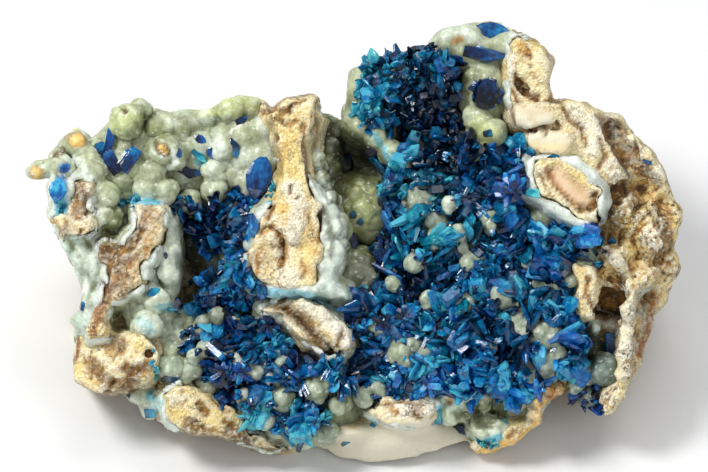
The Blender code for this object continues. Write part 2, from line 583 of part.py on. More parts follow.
def blade(bm, base, direction, width, thickness, length, spin):
    """Add a flat blade with a chisel tip, growing from base along direction."""
    side = direction.orthogonal().normalized()
    side = Matrix.Rotation(spin, 3, direction) @ side
    depth = direction.cross(side)
    frame = axes_matrix(side, depth, direction, base)
    sizes = Matrix.Diagonal((width, thickness, length, 1.0))
    middle = Matrix.Translation((0.0, 0.0, 0.5))
    made = bmesh.ops.create_cube(bm, size=1.0, matrix=middle)
    for vertex in made["verts"]:
        if vertex.co.z > 0.5:
            vertex.co.x *= 0.35
            vertex.co.y *= 0.7
        vertex.co = (frame @ sizes) @ vertex.co


def sprays_object(name, sprays, tree, seed):
    """Make the blades of all sprays as one object of overlapping blades."""
    dice = random.Random(seed)
    bm = bmesh.new()
    for u, v, number, length, width in sprays:
        for _ in range(number):
            spot_u = u + dice.uniform(-13.0, 13.0)
            spot_v = v + dice.uniform(-13.0, 13.0)
            place, normal = surface_under(tree, spot_u, spot_v)
            if place is None:
                continue
            lean = Vector([dice.uniform(-1.0, 1.0) for _ in range(3)])
            direction = (normal + AXIS_OUT * 0.3 + lean * 0.75).normalized()
            size = dice.uniform(0.75, 1.15)
            base = place - direction * (0.3 * length * size * MM)
            thickness = width * size * dice.uniform(0.35, 0.6) * MM
            spin = dice.uniform(0.0, math.pi)
            blade(bm, base, direction, width * size * MM, thickness, length * size * MM, spin)
    return new_object(name, bm, CUTTERS)


def single_crystal(name, tree, u, v, length, width, thickness, turn, lift):
    """Make one lozenge crystal with bevelled sides, lying on what is under it."""
    place, _ = surface_under(tree, u, v)
    place = place + AXIS_OUT * (GAP + (CRYSTAL_LIFT * thickness + lift) * MM)
    bm = bmesh.new()
    bmesh.ops.create_cone(
        bm, cap_ends=True, segments=6, radius1=0.5, radius2=0.36, depth=1.0
    )
    turned = AXIS_UP.copy()
    turned.rotate(Matrix.Rotation(math.radians(-turn), 3, AXIS_OUT))
    across = turned.cross(AXIS_OUT)
    frame = axes_matrix(across, turned, AXIS_OUT, place)
    sizes = Matrix.Diagonal((width * MM, length * MM, thickness * MM, 1.0))
    bmesh.ops.transform(bm, matrix=frame @ sizes, verts=bm.verts)
    return new_object(name, bm, PARTS)


def material(name, colour, roughness, metallic=0.0):
    """Return a plain Principled material."""
    made = bpy.data.materials.new(name)
    made.use_nodes = True
    shader = made.node_tree.nodes["Principled BSDF"]
    shader.inputs["Base Color"].default_value = (*colour, 1.0)
    shader.inputs["Roughness"].default_value = roughness
    shader.inputs["Metallic"].default_value = metallic
    made.diffuse_color = (*colour, 1.0)
    return made


def give_material(thing, made):
    """Set the object's only material."""
    thing.data.materials.clear()
    thing.data.materials.append(made)


def make_rock():
    """Model the matrix rock with its resting flat."""
    rock = lumps_object("matrix_rock", ROCK_LUMPS, [], PARTS)
    bm = bmesh.new()
    bm.from_mesh(rock.data)
    for left_top, right_top, points in ROCK_SECTIONS:
        add_sweep(bm, points, SECTION_ROOT, left_top, right_top)
    bm.to_mesh(rock.data)
    bm.free()
    remesh(rock, ROCK_VOXEL)
    combine(rock, OUTLINE_BLOCK, "INTERSECT")
    keep_largest(rock)
    remesh(rock, ROCK_VOXEL)
    roughen(rock, ROCK_ROUGHNESS, 1.6 * MM, 0.0)
    thin_out(rock, ROCK_FACES)
    combine(rock, GROUND_BLOCK, "DIFFERENCE")
    keep_largest(rock)
    return rock


def make_crust(name, sheets, balls, neighbours, faces):
    """Model a botryoidal crust that lies on the neighbours made before it."""
    crust = lumps_object(name, sheets, balls, PARTS)
    remesh(crust, CRUST_VOXEL)
    combine(crust, OUTLINE_BLOCK, "INTERSECT")
    keep_largest(crust)
    remesh(crust, CRUST_VOXEL)
    cut_clear(crust, clearance_for(crust, neighbours))
    remesh(crust, SKIN_VOXEL)
    keep_largest(crust)
    thin_out(crust, faces)
    return crust


def make_druse(name, pad_lumps, sprays, seed, neighbours, faces):
    """Model a druse: its pad, and the blades that are grown together with it."""
    druse = lumps_object(name, pad_lumps, [], PARTS)
    remesh(druse, CRUST_VOXEL)
    roughen(druse, DRUSE_ROUGHNESS, 0.9 * MM, 0.02)
    clearance = clearance_for(druse, neighbours)
    cut_clear(druse, clearance)
    remesh(druse, SKIN_VOXEL)
    keep_largest(druse)
    thin_out(druse, faces)
    blades = sprays_object(name + "_blades", sprays, surface_tree([druse]), seed)
    combine(blades, clearance_for(blades, neighbours), "DIFFERENCE", own_overlaps=True)
    combine(druse, blades, "UNION", own_overlaps=True)
    keep_largest(druse)
    return druse


def hide_cutters():
    """Keep the cutters out of the finished model."""
    for cutter in CUTTERS.objects:
        cutter.hide_render = True
        cutter.display_type = "WIRE"


clear_scene()
PARTS = new_collection("veszelyite_on_hemimorphite")
CUTTERS = new_collection("cutters")
OUTLINE_BLOCK = outline_block()
GROUND_BLOCK = ground_block()

ROCK_COLOUR = material("weathered_rock", (0.66, 0.56, 0.34), 0.85)
CRUST_COLOUR = material("hemimorphite", (0.56, 0.62, 0.46), 0.35)
BLUE_COLOUR = material("veszelyite", (0.01, 0.10, 0.34), 0.15)

rock_piece = make_rock()
swollen_pieces = [swollen(rock_piece)]
for crust_name, sheets, balls, faces in (
    ("hemimorphite_left_crust", LEFT_SHEETS, LEFT_BALLS, 1450),
    ("hemimorphite_cavity_lining", CAVITY_SHEETS, CAVITY_BALLS + CAVITY_RIND, 480),
    ("hemimorphite_upper_slab", SLAB_SHEETS, SLAB_BALLS, 420),
    ("hemimorphite_lower_edge", LOWER_SHEETS, LOWER_BALLS, 240),
    ("hemimorphite_right_hollow", RIGHT_SHEETS, RIGHT_BALLS, 200),
    ("hemimorphite_field_crust", FIELD_SHEETS, FIELD_BALLS, 620),
):
    piece = make_crust(crust_name, sheets, balls, swollen_pieces, faces)
    give_material(piece, CRUST_COLOUR)
    swollen_pieces.append(swollen(piece))

for druse_name, pad, sprays, seed, faces in (
    ("veszelyite_main_field", FIELD_PAD, FIELD_SPRAYS, 11, 450),
    ("veszelyite_upper_druse", UPPER_PAD, UPPER_SPRAYS, 12, 200),
    ("veszelyite_lower_left_druse", LOWER_LEFT_PAD, LOWER_LEFT_SPRAYS, 33, 200),
    ("veszelyite_hollow_druse", HOLLOW_PAD, HOLLOW_SPRAYS, 14, 140),
):
    piece = make_druse(druse_name, pad, sprays, seed, swollen_pieces, faces)
    give_material(piece, BLUE_COLOUR)
    swollen_pieces.append(swollen(piece))

carriers = surface_tree(list(PARTS.objects))
for crystal_name, sizes in SINGLE_CRYSTALS.items():
    piece = single_crystal(crystal_name, carriers, *sizes)
    cut_clear(piece, clearance_for(piece, swollen_pieces))
    give_material(piece, BLUE_COLOUR)

give_material(rock_piece, ROCK_COLOUR)
hide_cutters()
for piece in PARTS.objects:
    piece.location = ORIGIN_SHIFT
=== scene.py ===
"""The looks of the veszelyite on hemimorphite specimen, in metres, +Z up.

The rock, the hemimorphite crusts and the veszelyite druses are modelled again
from the same lumps as the solids, finely, with their cracks, rims, balls and
blades. Places on the crystal face are given as u to the right and v down in
steps of FACE_STEP, which are pixels of the photograph, and w in millimetres
out of the face. The tables are texts of such values, read by read_rows.
"""

import itertools
import math
import random

import bmesh
import bpy
import numpy as np
from mathutils import Matrix, Vector
from mathutils.bvhtree import BVHTree


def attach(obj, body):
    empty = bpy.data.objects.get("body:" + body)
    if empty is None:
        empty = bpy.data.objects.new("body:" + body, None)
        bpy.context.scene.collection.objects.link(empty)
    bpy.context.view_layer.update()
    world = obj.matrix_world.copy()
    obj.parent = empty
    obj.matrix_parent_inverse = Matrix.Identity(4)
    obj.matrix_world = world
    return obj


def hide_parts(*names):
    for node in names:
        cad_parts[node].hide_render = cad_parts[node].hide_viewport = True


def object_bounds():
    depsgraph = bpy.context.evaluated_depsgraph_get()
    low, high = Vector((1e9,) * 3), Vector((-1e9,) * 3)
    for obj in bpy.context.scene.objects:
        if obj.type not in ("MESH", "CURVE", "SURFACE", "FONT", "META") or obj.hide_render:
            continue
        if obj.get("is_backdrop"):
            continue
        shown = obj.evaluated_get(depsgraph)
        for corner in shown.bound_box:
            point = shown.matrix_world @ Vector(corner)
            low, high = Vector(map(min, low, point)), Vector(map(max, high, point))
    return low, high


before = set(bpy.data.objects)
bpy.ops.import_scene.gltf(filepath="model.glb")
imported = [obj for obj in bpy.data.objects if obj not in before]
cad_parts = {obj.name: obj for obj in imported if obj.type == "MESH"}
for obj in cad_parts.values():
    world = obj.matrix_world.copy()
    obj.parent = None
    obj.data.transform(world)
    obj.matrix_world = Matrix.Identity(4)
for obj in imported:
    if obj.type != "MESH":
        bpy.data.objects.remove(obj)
CAD_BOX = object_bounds()

MM = 0.001

# The crystal face, as in the solids
FACE_STEP = 0.0461 * MM
FACE_MIDDLE_U = 354.0
FACE_MIDDLE_V = 236.0
FACE_TILT = math.radians(50.0)
FACE_CENTRE = Vector((-0.228 * MM, -1.770 * MM, 8.20 * MM))
VIEW_DISTANCE = 250.0 * MM
# The sight lines start and end this far out of the face, in mm
FRONT_CAP = 7.0
BACK_CAP = -14.0
AXIS_RIGHT = Vector((1.0, 0.0, 0.0))
AXIS_UP = Vector((0.0, math.sin(FACE_TILT), math.cos(FACE_TILT)))
AXIS_OUT = Vector((0.0, -math.cos(FACE_TILT), math.sin(FACE_TILT)))
FRAME_ROWS = np.array((AXIS_RIGHT, AXIS_UP, AXIS_OUT))
STEP_MM = FACE_STEP / MM
VIEW_MM = VIEW_DISTANCE / MM

# The grids that the skins are modelled on, in mm: their pitch, the greatest
# distance that they hold, and the depth and the flare of the flat sections
ROCK_PITCH, CRUST_PITCH, PAD_PITCH = ((0.167, 0.112, 0.16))
FAR = 0.8
SECTION_ROOT = -3.6
FLARE = 0.22
TINY = 1e-6
CORNERS = list(itertools.product((0, 1), repeat=3))
NOISE_START = 1000.0

# How much lower the rock's flanks lie than the sections on them, how far the
# balls and pads are lifted or lowered, and the hills of the pads, in mm
FLANK_DROP = 0.7
BALL_LIFT = 0.30
FIELD_CRUST_DEPTH = 0.95
PAD_DROP = 0.15
HILL_HEIGHT, HILL_SIZE, HILL_SEED = 0.55, 1.9, 62
# The least area of a loose part of a skin, and the painted shade that darkens a crust's hollows
LEAST_SKIN = 1.8
HOLLOW_PAINTED_SHADE = np.array((0.42, 0.45, 0.24))
# How much of its swellings the smooth slab keeps
SLAB_SWELL = 0.55

# The blades: their forms, and the ranges of their sizes as shares of a spray's
SPRAY_KINDS = ("blade", "blade", "wedge", "slant", "lens", "block")
SPRAY_SIZE = (0.75, 1.2)
BLADE_LENGTH = (0.6, 1.35)
BLADE_WIDTH = (0.34, 0.80)
BLADE_THICKNESS = (0.12, 0.28)
BLOCK_THICKNESS = (0.5, 0.8)
BLOCK_LENGTH = (0.5, 0.9)
# How far a spray opens, in radians, and how much its colour and its blades' vary
SPRAY_OPENING = 0.62
SPRAY_SPREAD = 0.12
BLADE_TONE_SPREAD = 0.14
BLADE_LIGHT_SPREAD = 0.2
# How much painted shade darkens the blades at the hills' feet, and the colour where no zone is near
HILL_SHADE = 0.42
BASE_SHARE, BASE_TONE, BASE_LIGHT = 0.15, 0.6, 0.45
# How much of a ball's radius the blades leave free
BALL_SHOWN = 0.78
# The grain of each crystal's look starts this much further for each place
GRAIN_JUMP = 0.37


# Reading the tables

def read(word):
    """Read a name, a number or a point of a table."""
    if "," in word:
        return tuple(read(part) for part in word.split(","))
    if word[0].isalpha():
        return word
    return float(word) if "." in word else int(word)


def read_rows(text):
    """Read entries apart by semicolons, with lines of comment between them."""
    lines = [line for line in text.splitlines() if not line.startswith("#")]
    return [[read(word) for word in entry.split()] for entry in " ".join(lines).split(";")]


def read_points(text):
    """Read an outline of points."""
    return read_rows(text)[0]


def read_brushes(heads, text):
    """Read entries of some values each, and then points."""
    return [(*row[:heads], row[heads:]) for row in read_rows(text)]


# The outline of the specimen on its face, as u and v
OUTLINE = read_points("""
27,172 30,162 41,156 58,149 66,135 77,127 92,140 108,125 113,108 126,100 142,100 164,112 205,111 242,95
264,100 270,109 289,97 313,94 321,99 316,112 343,122 346,104 351,69 375,64 400,54 422,47 441,30 459,25
482,21 490,16 509,29 526,34 545,50 554,60 547,79 553,99 586,102 594,109 620,114 638,138 653,149 667,176
676,200 684,210 677,234 674,247 682,268 669,294 667,303 654,317 653,327 644,351 644,361 629,385 609,414
597,415 576,401 566,389 562,397 541,409 541,423 514,444 488,456 474,456 466,443 430,456 400,464 370,466
340,460 318,445 304,449 289,453 265,455 251,450 223,438 191,436 174,431 155,422 146,416 140,406 129,398
122,391 112,395 100,394 74,382 72,351 77,328 70,320 81,309 84,295 80,278 70,259 57,235 47,212 50,195
44,184 33,181
""")

# Rock lumps as u, v, w and their half sizes: first the mass behind the face
ROCK_MASS = read_rows("""
175 285 -7 120 125 3.2; 130 330 -4.2 66 75 2.5; 100 235 -3.6 55 80 2.1; 200 185 -6 125 85 2.3;
250 360 -4.6 130 80 2.4; 330 300 -7.4 170 150 3.3; 300 175 -7.4 95 85 2.3; 470 300 -6.2 150 135 3.6;
482 125 -5.3 85 100 2.7; 150 150 -4.6 85 45 2.2; 250 150 -4.8 60 50 2.2; 575 250 -4.6 95 145 4.1;
620 265 -3.4 62 125 2.7; 600 165 -3.2 62 65 2.6; 330 280 -9 210 120 2.6; 440 240 -9 170 120 2.4;
250 400 -3.6 95 50 2; 420 400 -4.4 110 55 2.4
""")
# Then the flanks of the wall left of the middle and of the chunk below it
ROCK_WALL = read_rows("""
296 106 .2 24 16 2.1; 312 104 0 10 12 1.8; 295 135 .3 16 28 2.2; 293 168 .5 16 28 2.2;
292 205 .7 30 24 2.2; 288 235 .9 37 26 2.3; 298 262 .8 33 22 2.2; 296 130 -3.2 19 40 3.4;
290 215 -3 38 60 3.6; 298 320 -.4 24 18 1.8; 318 335 .1 27 22 1.8; 338 348 0 14 14 1.6;
310 330 -2.8 40 32 2.2
""")
# The flanks of the brown section at the far left, the lower left mass and its block
ROCK_LEFT = read_rows("""
80 192 -.2 11 18 1.2; 78 216 -.3 13 16 1.3; 62 226 -.9 12 14 1.1; 104 250 -.4 12 13 1.5;
124 256 -.4 18 12 1.6; 146 240 -.4 14 16 1.6; 150 220 -.4 13 13 1.5; 122 276 -.4 14 16 1.5;
106 298 -.5 12 16 1.4; 95 328 -.6 15 13 1.4; 112 352 -.8 34 22 1.6; 142 350 -.6 16 19 1.6;
92 370 -1.2 22 18 1.6; 120 378 -1.4 24 15 1.5; 86 350 -1.4 16 22 1.6; 190 408 -.6 30 20 1.5;
222 418 -.8 34 18 1.4; 256 436 -1.2 32 14 1.2; 185 425 -1.8 28 14 1.4; 280 446 -2 30 10 1.1
""")
# The bottom edge with its smooth foot, and the ochre corner
ROCK_BOTTOM = read_rows("""
408 414 -.8 32 14 1.3; 350 432 -1.2 22 10 1.1; 392 436 -2.6 80 28 1.9; 360 446 -3 48 20 1.7;
515 432 -1.6 38 16 1.3; 488 447 -2 24 10 1.1; 540 410 -.8 14 20 1.3; 553 395 -.2 17 15 1.4;
470 420 -4.2 60 32 2
""")
# The mass under the granular edge, the plates, the plateau and the ringed
# hollow, then the ridges and hollows that fall away to the right
ROCK_RIGHT = read_rows("""
528 62 -1.2 26 34 1.9; 522 92 -1 22 18 1.8; 470 45 -2.2 45 24 1.5; 532 117 -.6 24 15 1.7;
552 138 -.6 26 15 1.7; 582 128 -1 34 26 1.9; 608 150 -1.3 34 32 1.9; 568 184 -.5 44 28 2;
586 200 -.6 30 24 1.9; 612 122 -.9 13 14 1.8; 628 136 -1.2 14 16 1.8; 645 156 -1.4 13 18 1.8;
658 180 -1.6 14 20 1.8; 622 212 -1.2 28 32 2; 650 206 -1.6 12 14 2; 668 222 -2.2 13 22 2;
650 238 -1.2 13 18 2; 668 262 -2.4 13 26 2; 640 278 -1.2 20 15 2; 612 256 -1 18 20 2;
590 292 -1 16 26 1.8; 624 300 -1.1 10 26 1.8; 626 352 -1.1 10 40 1.8; 646 322 -2 16 26 1.7;
640 362 -2.4 14 24 1.7; 614 398 -1.2 18 18 1.4; 612 355 -3.6 42 55 1.8
""")
# Steps between which the rock gets rougher at the right side, and between
# which the smoother plateau starts and ends
RIGHT_U, RIGHT_V = (585.0, 605.0), (150.0, 190.0)
PLATEAU_FROM_U, PLATEAU_TO_U, PLATEAU_TO_V = (545.0, 560.0), (600.0, 620.0), (170.0, 190.0)
ROCK_FLANKS = [(u, v, w - FLANK_DROP, a, b, c) for u, v, w, a, b, c in ROCK_WALL + ROCK_LEFT]
ROCK_LUMPS = ROCK_MASS + ROCK_FLANKS + ROCK_BOTTOM + ROCK_RIGHT
# Holes in the rock
ROCK_HOLES = read_rows("""
612 306 .6 12 15 1.5; 590 341 .2 12 14 1.6; 322 218 2.6 4 5 .7; 276 139 2.4 4 4 .6; 593 203 2.3 6 7 .6;
149 353 1.2 4 4 .6; 522 86 1.4 6 7 .7; 202 408 1 5 6 .5
""")

# Sections where the rock is broken flat across: the heights of the left and
# the right end, and the outline as u and v
ROCK_SECTIONS = {name: ends for name, *ends in read_brushes(3, """
# The wall left of the middle, and the chunk below it
wall 2.2 2 271,103 282,97 302,95 316,99 314,112 308,128 306,150 309,172 314,194 320,208 321,222 321,245
320,264 319,283 306,288 280,288 262,281 252,270 250,253 254,238 258,226 262,212 271,203 280,196 284,183
283,162 280,140 276,127 267,116; chunk 1.6 1.5 265,309 280,301 298,300 315,309 332,320 345,333 346,348
339,357 328,355 315,346 302,337 289,327 280,314;
# The arm, the branching section and its ribbon at the far left
arm .6 1 74,180 89,182 88,194 84,206 92,218 93,230 87,234 75,234 66,237 64,245 56,236 58,226 49,222
50,216 66,217 70,206; branch 1 1.3 138,208 161,210 161,224 158,244 150,256 141,267 142,281 135,290
121,298 100,300 107,283 108,266 99,255 97,243 107,242 121,244 123,238 132,229 137,218; ribbon .7 .9
104,284 114,284 110,300 102,320 104,336 90,340 86,330 92,318 98,302;
# The lower left mass and the block on the bottom edge
lower_left .3 .9 84,367 91,359 114,358 115,338 130,334 150,340 157,351 157,363 152,376 142,383 129,382
120,394 105,395 84,386 73,383 72,370; block 1 -.5 163,396 176,386 193,391 211,402 228,407 243,420
250,433 263,439 280,448 290,453 267,455 237,444 206,437 180,433 167,418;
# The lump on the bottom edge
lump .5 .6 372,412 385,402 405,398 425,398 436,404 430,418 410,424 388,422;
# The granular edge of the upper right block, and its two smooth plates
edge 1.2 1 512,36 519,34 532,42 543,53 553,64 548,84 552,100 530,106 514,112 510,96 510,75 512,53;
plate_upper 1.8 1.9 513,110 525,104 545,106 556,114 556,124 540,127 522,130 514,122; plate_lower 1.8 1.9
526,134 548,129 566,132 574,142 568,154 548,154 532,148;
# The plateau, which falls to the right, and the rim of the ringed hollow
plateau 1.9 .8 549,101 564,103 583,102 594,109 602,119 607,132 612,142 623,155 632,166 640,176 628,184
612,184 600,176 586,164 572,156 574,142 562,128 556,114; ring 2 1.9 535,160 545,158 558,159 571,162
582,172 591,181 600,192 601,204 598,216 588,220 578,218 566,209 556,203 541,196 536,180;
# The porous block right of the blue field
porous 1.3 1.4 576,266 591,268 597,284 593,300 595,318 581,319 575,300 578,284
""")}

# Rinds round the sections, where they are wider on one side
WALL_RIND = read_points("""
275,120 283,140 287,163 287,184 282,196 268,202 258,214 249,230 246,254 240,266 245,275 258,287 280,294
306,294 322,291 336,293 348,298 345,290 336,284 334,275 339,262 338,250 334,241 338,228 334,218 328,207
320,194 312,181 308,165 303,140
""")
RING_RIND = read_points("""
527,161 533,154 555,152 580,157 594,169 607,186 609,204 603,217 590,227 577,226 556,213 539,206 526,194
""")

# Hemimorphite crusts: sheets as lumps, then balls as u, v, w and radius
LEFT_SHEETS = read_rows("""
112 165 -1.9 62 45 1.5; 180 150 -1.9 70 45 1.6; 245 150 -1.7 55 55 1.7; 95 210 -1.8 42 50 1.4;
78 290 -1.4 16 48 1.4; 170 255 -1.5 12 50 2; 150 305 -1.6 28 40 1.8; 185 350 -2.2 60 45 1.7;
240 330 -2.6 70 50 1.8; 270 390 -2 75 48 1.7; 215 215 -3.6 42 60 1.2; 262 300 -2.2 36 30 1.8;
315 405 -1.8 50 40 1.5; 150 400 -2 28 20 1.3; 300 430 -2 36 22 1.2;
# The layered slab at the far left, and the flat face left of the wall
78 258 -.9 18 30 1.2; 84 296 -.9 14 28 1.1; 96 262 -.7 9 26 .9; 266 152 -1.2 20 44 1.6;
172 250 -.9 11 50 1.3
""")
LEFT_BALLS = read_rows("""
37 170 -1.2 11; 49 167 -1.2 10; 76 142 -.8 13; 60 156 -1.2 9; 97 150 -1.4 13; 126 121 -.6 17;
143 108 -.9 12; 162 125 -1.1 16; 186 125 -1.1 15; 208 112 -1 13; 230 108 -.8 15; 251 106 -.9 13;
164 150 -.2 15; 175 161 -.4 11; 152 172 -.3 13; 147 189 -.4 12; 165 190 -.4 13; 92 172 -.6 15;
104 196 -.5 15; 108 217 -.5 13; 62 168 -.4 12; 60 190 -.4 16; 62 206 -.6 12; 86 158 -.6 12;
200 146 -.9 15; 222 147 -.6 13; 240 134 -.9 17; 264 130 -.5 15; 262 158 -.6 17; 250 182 -.9 16;
214 172 -.7 12; 214 190 -.8 13; 188 203 -1.2 13; 232 238 -1.9 12; 230 258 -2 11; 168 225 -.2 10;
172 250 -.2 10; 170 275 -.3 11; 156 300 -.2 13; 146 325 -.2 15; 86 318 -.7 12; 268 322 -.6 17;
262 300 -.9 12; 190 365 -.8 14; 175 352 -1 13; 222 340 -1 17; 245 358 -.9 15; 290 405 -.6 15;
312 380 -.7 15; 268 385 -.9 13; 340 400 -.8 14; 280 425 -1 15; 316 432 -1.1 14; 160 398 -1.3 12;
232 375 -1 14; 205 385 -1 12
""")
CAVITY_SHEETS = read_rows("""
332 140 -4.2 38 42 1.2; 360 190 -4 50 55 1.3; 365 265 -3.2 45 50 1.4; 330 170 -3.2 14 50 1.6;
345 300 -2.4 34 26 1.6; 392 205 -3.2 30 40 1.3
""")
CAVITY_BALLS = read_rows("""
328 122 -3.2 24; 362 208 -2.6 38; 355 274 -1.7 28; 383 300 -1.7 18; 324 190 -2.2 14; 326 288 -.6 13;
342 295 -.6 15; 350 312 -.8 14; 388 250 -2.4 20; 395 185 -2.6 18;
# The rind down the wall's right side
322 118 .2 7; 316 138 .3 7; 318 158 .4 7; 323 178 .5 7; 331 200 .6 8; 339 222 .6 8; 341 244 .5 8;
336 268 .2 9
""")
SLAB_SHEETS = read_rows("""
468 48 -1.3 42 28 1.6; 484 92 -1.2 26 48 1.7; 484 135 -1.1 24 26 1.6; 400 80 -2.4 55 36 1.4;
372 130 -2.2 32 20 1.6; 420 125 -3.8 50 45 1.2; 360 95 -1.9 16 35 1.5
""")
SLAB_BALLS = read_rows("""
350 118 -1.2 9; 360 126 -1 12; 376 138 -1 13; 390 152 -1 13; 402 166 -1.1 12; 450 38 -.6 14;
468 38 -.4 14; 440 60 -.9 14; 500 45 -.6 14; 478 118 -.2 14; 492 132 -.2 15; 478 150 -.4 13
""")
LOWER_SHEETS = read_rows("""
455 402 -1.9 34 22 1.3; 505 405 -2.1 46 16 1.3; 492 428 -2.1 30 16 1.2; 430 405 -2.2 28 18 1.2
""")
LOWER_BALLS = read_rows("""
448 392 -.8 13; 462 398 -.7 14; 452 412 -.9 13; 482 400 -1.1 12; 520 398 -1 13; 536 385 -.9 12;
484 426 -1.2 13; 498 428 -1.2 14
""")
RIGHT_SHEETS = read_rows("""
590 345 -2.6 26 30 1.3; 598 378 -2.3 32 26 1.3
""")
RIGHT_BALLS = read_rows("""
594 328 -.9 8; 586 372 -.9 12; 606 370 -.8 17; 575 384 -.8 9; 590 398 -1.3 12
""")
FIELD_BALLS = read_rows("""
419 199 -.8 17; 437 225 -.7 15; 545 216 -.1 14; 504 298 -.1 13; 523 331 -.1 16; 544 334 0 17;
538 286 -.1 13; 543 370 -.3 15; 396 345 -.7 13; 424 352 -.4 13; 492 222 -.2 12; 465 250 -.3 11;
570 215 0 13; 585 262 -.2 12
""")
# Further pale balls between the blades
FIELD_PEARLS = read_rows("""
364 397 -.2 10; 380 391 -.3 9; 401 353 -.1 12; 376 328 -.2 9; 458 232 0 9; 470 262 0 9; 530 262 .1 9;
556 352 0 10; 488 345 0 9; 462 305 0 10; 428 300 0 9; 414 262 -.2 10; 524 306 0 9; 516 319 .1 10;
562 274 .1 9; 571 280 .1 7; 556 284 .1 7; 433 244 -.1 9; 541 258 .1 7; 393 284 -.3 9; 404 360 0 9;
412 344 0 8; 548 362 .1 11; 535 377 0 10; 478 254 .1 7; 432 219 -.3 9; 449 206 .1 8
""")
LOWER_LEFT_PEARLS = read_rows("""
206 350 .1 8; 192 370 -.2 9; 186 378 -.3 8; 240 362 .2 10; 247 369 .2 10; 283 362 .3 10; 273 380 .3 8;
282 397 .3 13; 316 390 .3 13; 246 399 .2 8; 267 420 0 9; 294 430 -.1 9; 325 434 -.6 12; 338 405 0 10;
203 325 -.1 9; 218 318 -.1 9; 234 322 -.1 8; 276 350 .3 8; 171 368 -.3 13; 196 358 0 8; 226 352 .1 7;
324 381 .3 8; 290 377 .4 7; 256 372 .4 7
""")

# Veszelyite: the pads that the blades stand on
FIELD_PAD = read_rows("""
425 190 -2 42 40 1.4; 480 185 -1.5 50 42 1.5; 520 180 -1 26 38 1.5; 420 250 -2 46 46 1.4;
480 250 -1.3 60 50 1.6; 545 250 -1 44 46 1.6; 400 320 -1.5 50 40 1.5; 460 320 -1.2 60 44 1.6;
530 320 -1 52 46 1.6; 390 372 -1.5 46 32 1.4; 450 372 -1.3 50 26 1.5; 510 375 -1.2 44 26 1.5;
565 340 -1.2 24 36 1.4
""")
UPPER_PAD = read_rows("""
372 90 -.9 20 26 1; 392 76 -.9 24 18 1; 420 70 -.9 26 20 1.1; 442 85 -.8 18 26 1.1;
412 108 -1.8 28 30 1.2; 430 130 -1.9 28 28 1.1; 450 140 -1.6 20 24 1.1; 368 115 -.8 16 16 .9
""")
LOWER_LEFT_PAD = read_rows("""
206 338 -.5 24 16 1.1; 232 366 -.3 30 20 1.1; 258 345 -.4 26 22 1.1; 270 368 -.2 26 18 1.1;
300 385 -.1 32 26 1.1; 332 378 -.2 26 24 1.1; 300 415 -.3 28 22 1.1; 272 408 -.3 24 20 1.1;
248 392 -.3 22 16 1.1
""")
HOLLOW_PAD = read_rows("""
240 285 -1.2 24 28 1.2; 222 300 -1.2 22 20 1.2; 248 222 -1 18 16 1.2; 238 208 -.8 20 14 1.1;
248 255 -1.2 15 28 1.3; 214 232 -2.3 18 20 1.1; 232 232 -1.6 18 16 1.2
""")


def to_frame(u, v, w):
    """Return the place of a face point in the face's own frame, in mm."""
    spread = (1.0 - w / VIEW_MM) * STEP_MM
    return (u - FACE_MIDDLE_U) * spread, (FACE_MIDDLE_V - v) * spread, w


def to_face(places):
    """Return u, v and w of an array of places in the face's frame."""
    spread = (1.0 - places[:, 2] / VIEW_MM) * STEP_MM
    u = FACE_MIDDLE_U + places[:, 0] / spread
    v = FACE_MIDDLE_V - places[:, 1] / spread
    return u, v, places[:, 2]


def to_world(places):
    """Turn places in the face's frame, in mm, into world places."""
    return places @ FRAME_ROWS * MM + np.array(FACE_CENTRE)


# Noise that gives the same values on every run

def lattice(i, j, k, seed):
    """Return a value from 0 to 1 for each whole-number place."""
    mixed = i.astype(np.uint32) * np.uint32(73856093)
    mixed ^= j.astype(np.uint32) * np.uint32(19349663)
    mixed ^= k.astype(np.uint32) * np.uint32(83492791)
    mixed += np.uint32((seed * 2654435761) & 0xFFFFFFFF)
    for shift, factor in ((16, 0x7FEB352D), (15, 0x846CA68B)):
        mixed ^= mixed >> np.uint32(shift)
        mixed *= np.uint32(factor)
    mixed ^= mixed >> np.uint32(16)
    return mixed.astype(np.float64) / 4294967295.0


def value_noise(places, size, seed):
    """Return smooth noise from -1 to 1 with cells of the size given."""
    scaled = places / size + NOISE_START
    cell = np.floor(scaled).astype(np.int64)
    part = scaled - cell
    part = part * part * (3.0 - 2.0 * part)
    total = np.zeros(len(places))
    for corner in CORNERS:
        weight = 1.0
        for axis in range(3):
            weight = weight * (part[:, axis] if corner[axis] else 1.0 - part[:, axis])
        total += weight * lattice(*(cell + corner).T, seed)
    return total * 2.0 - 1.0


def layered_noise(places, size, seed, layers=3):
    """Return several layers of noise, each half as coarse as the last."""
    total = np.zeros(len(places))
    share = 1.0
    for layer in range(layers):
        total += share * value_noise(places, size / 2 ** layer, seed + layer)
        share *= 0.5
    return total / (2.0 - 2.0 * share)


def cell_noise(places, size, seed):
    """Return the distances to the nearest and next grain middles, in cells."""
    scaled = places / size + NOISE_START
    cell = np.floor(scaled).astype(np.int64)
    near = np.full(len(places), 9.0)
    after = near.copy()
    for step in itertools.product((-1, 0, 1), repeat=3):
        at = cell + step
        gap = sum((at[:, axis] + lattice(*at.T, seed + axis) - scaled[:, axis]) ** 2
                  for axis in range(3))
        after = np.minimum(after, np.maximum(near, gap))
        near = np.minimum(near, gap)
    return np.sqrt(near), np.sqrt(after)


def ease(values, low, high):
    """Return 0 below low, 1 above high, and a smooth rise between."""
    part = np.clip((values - low) / (high - low), 0.0, 1.0)
    return part * part * (3.0 - 2.0 * part)


def patches(places, size, seed, low, high, layers=3):
    """Return soft patches from 0 to 1, where layered noise is high."""
    return ease(layered_noise(places, size, seed, layers), low, high)


# Solid forms as grids of distances

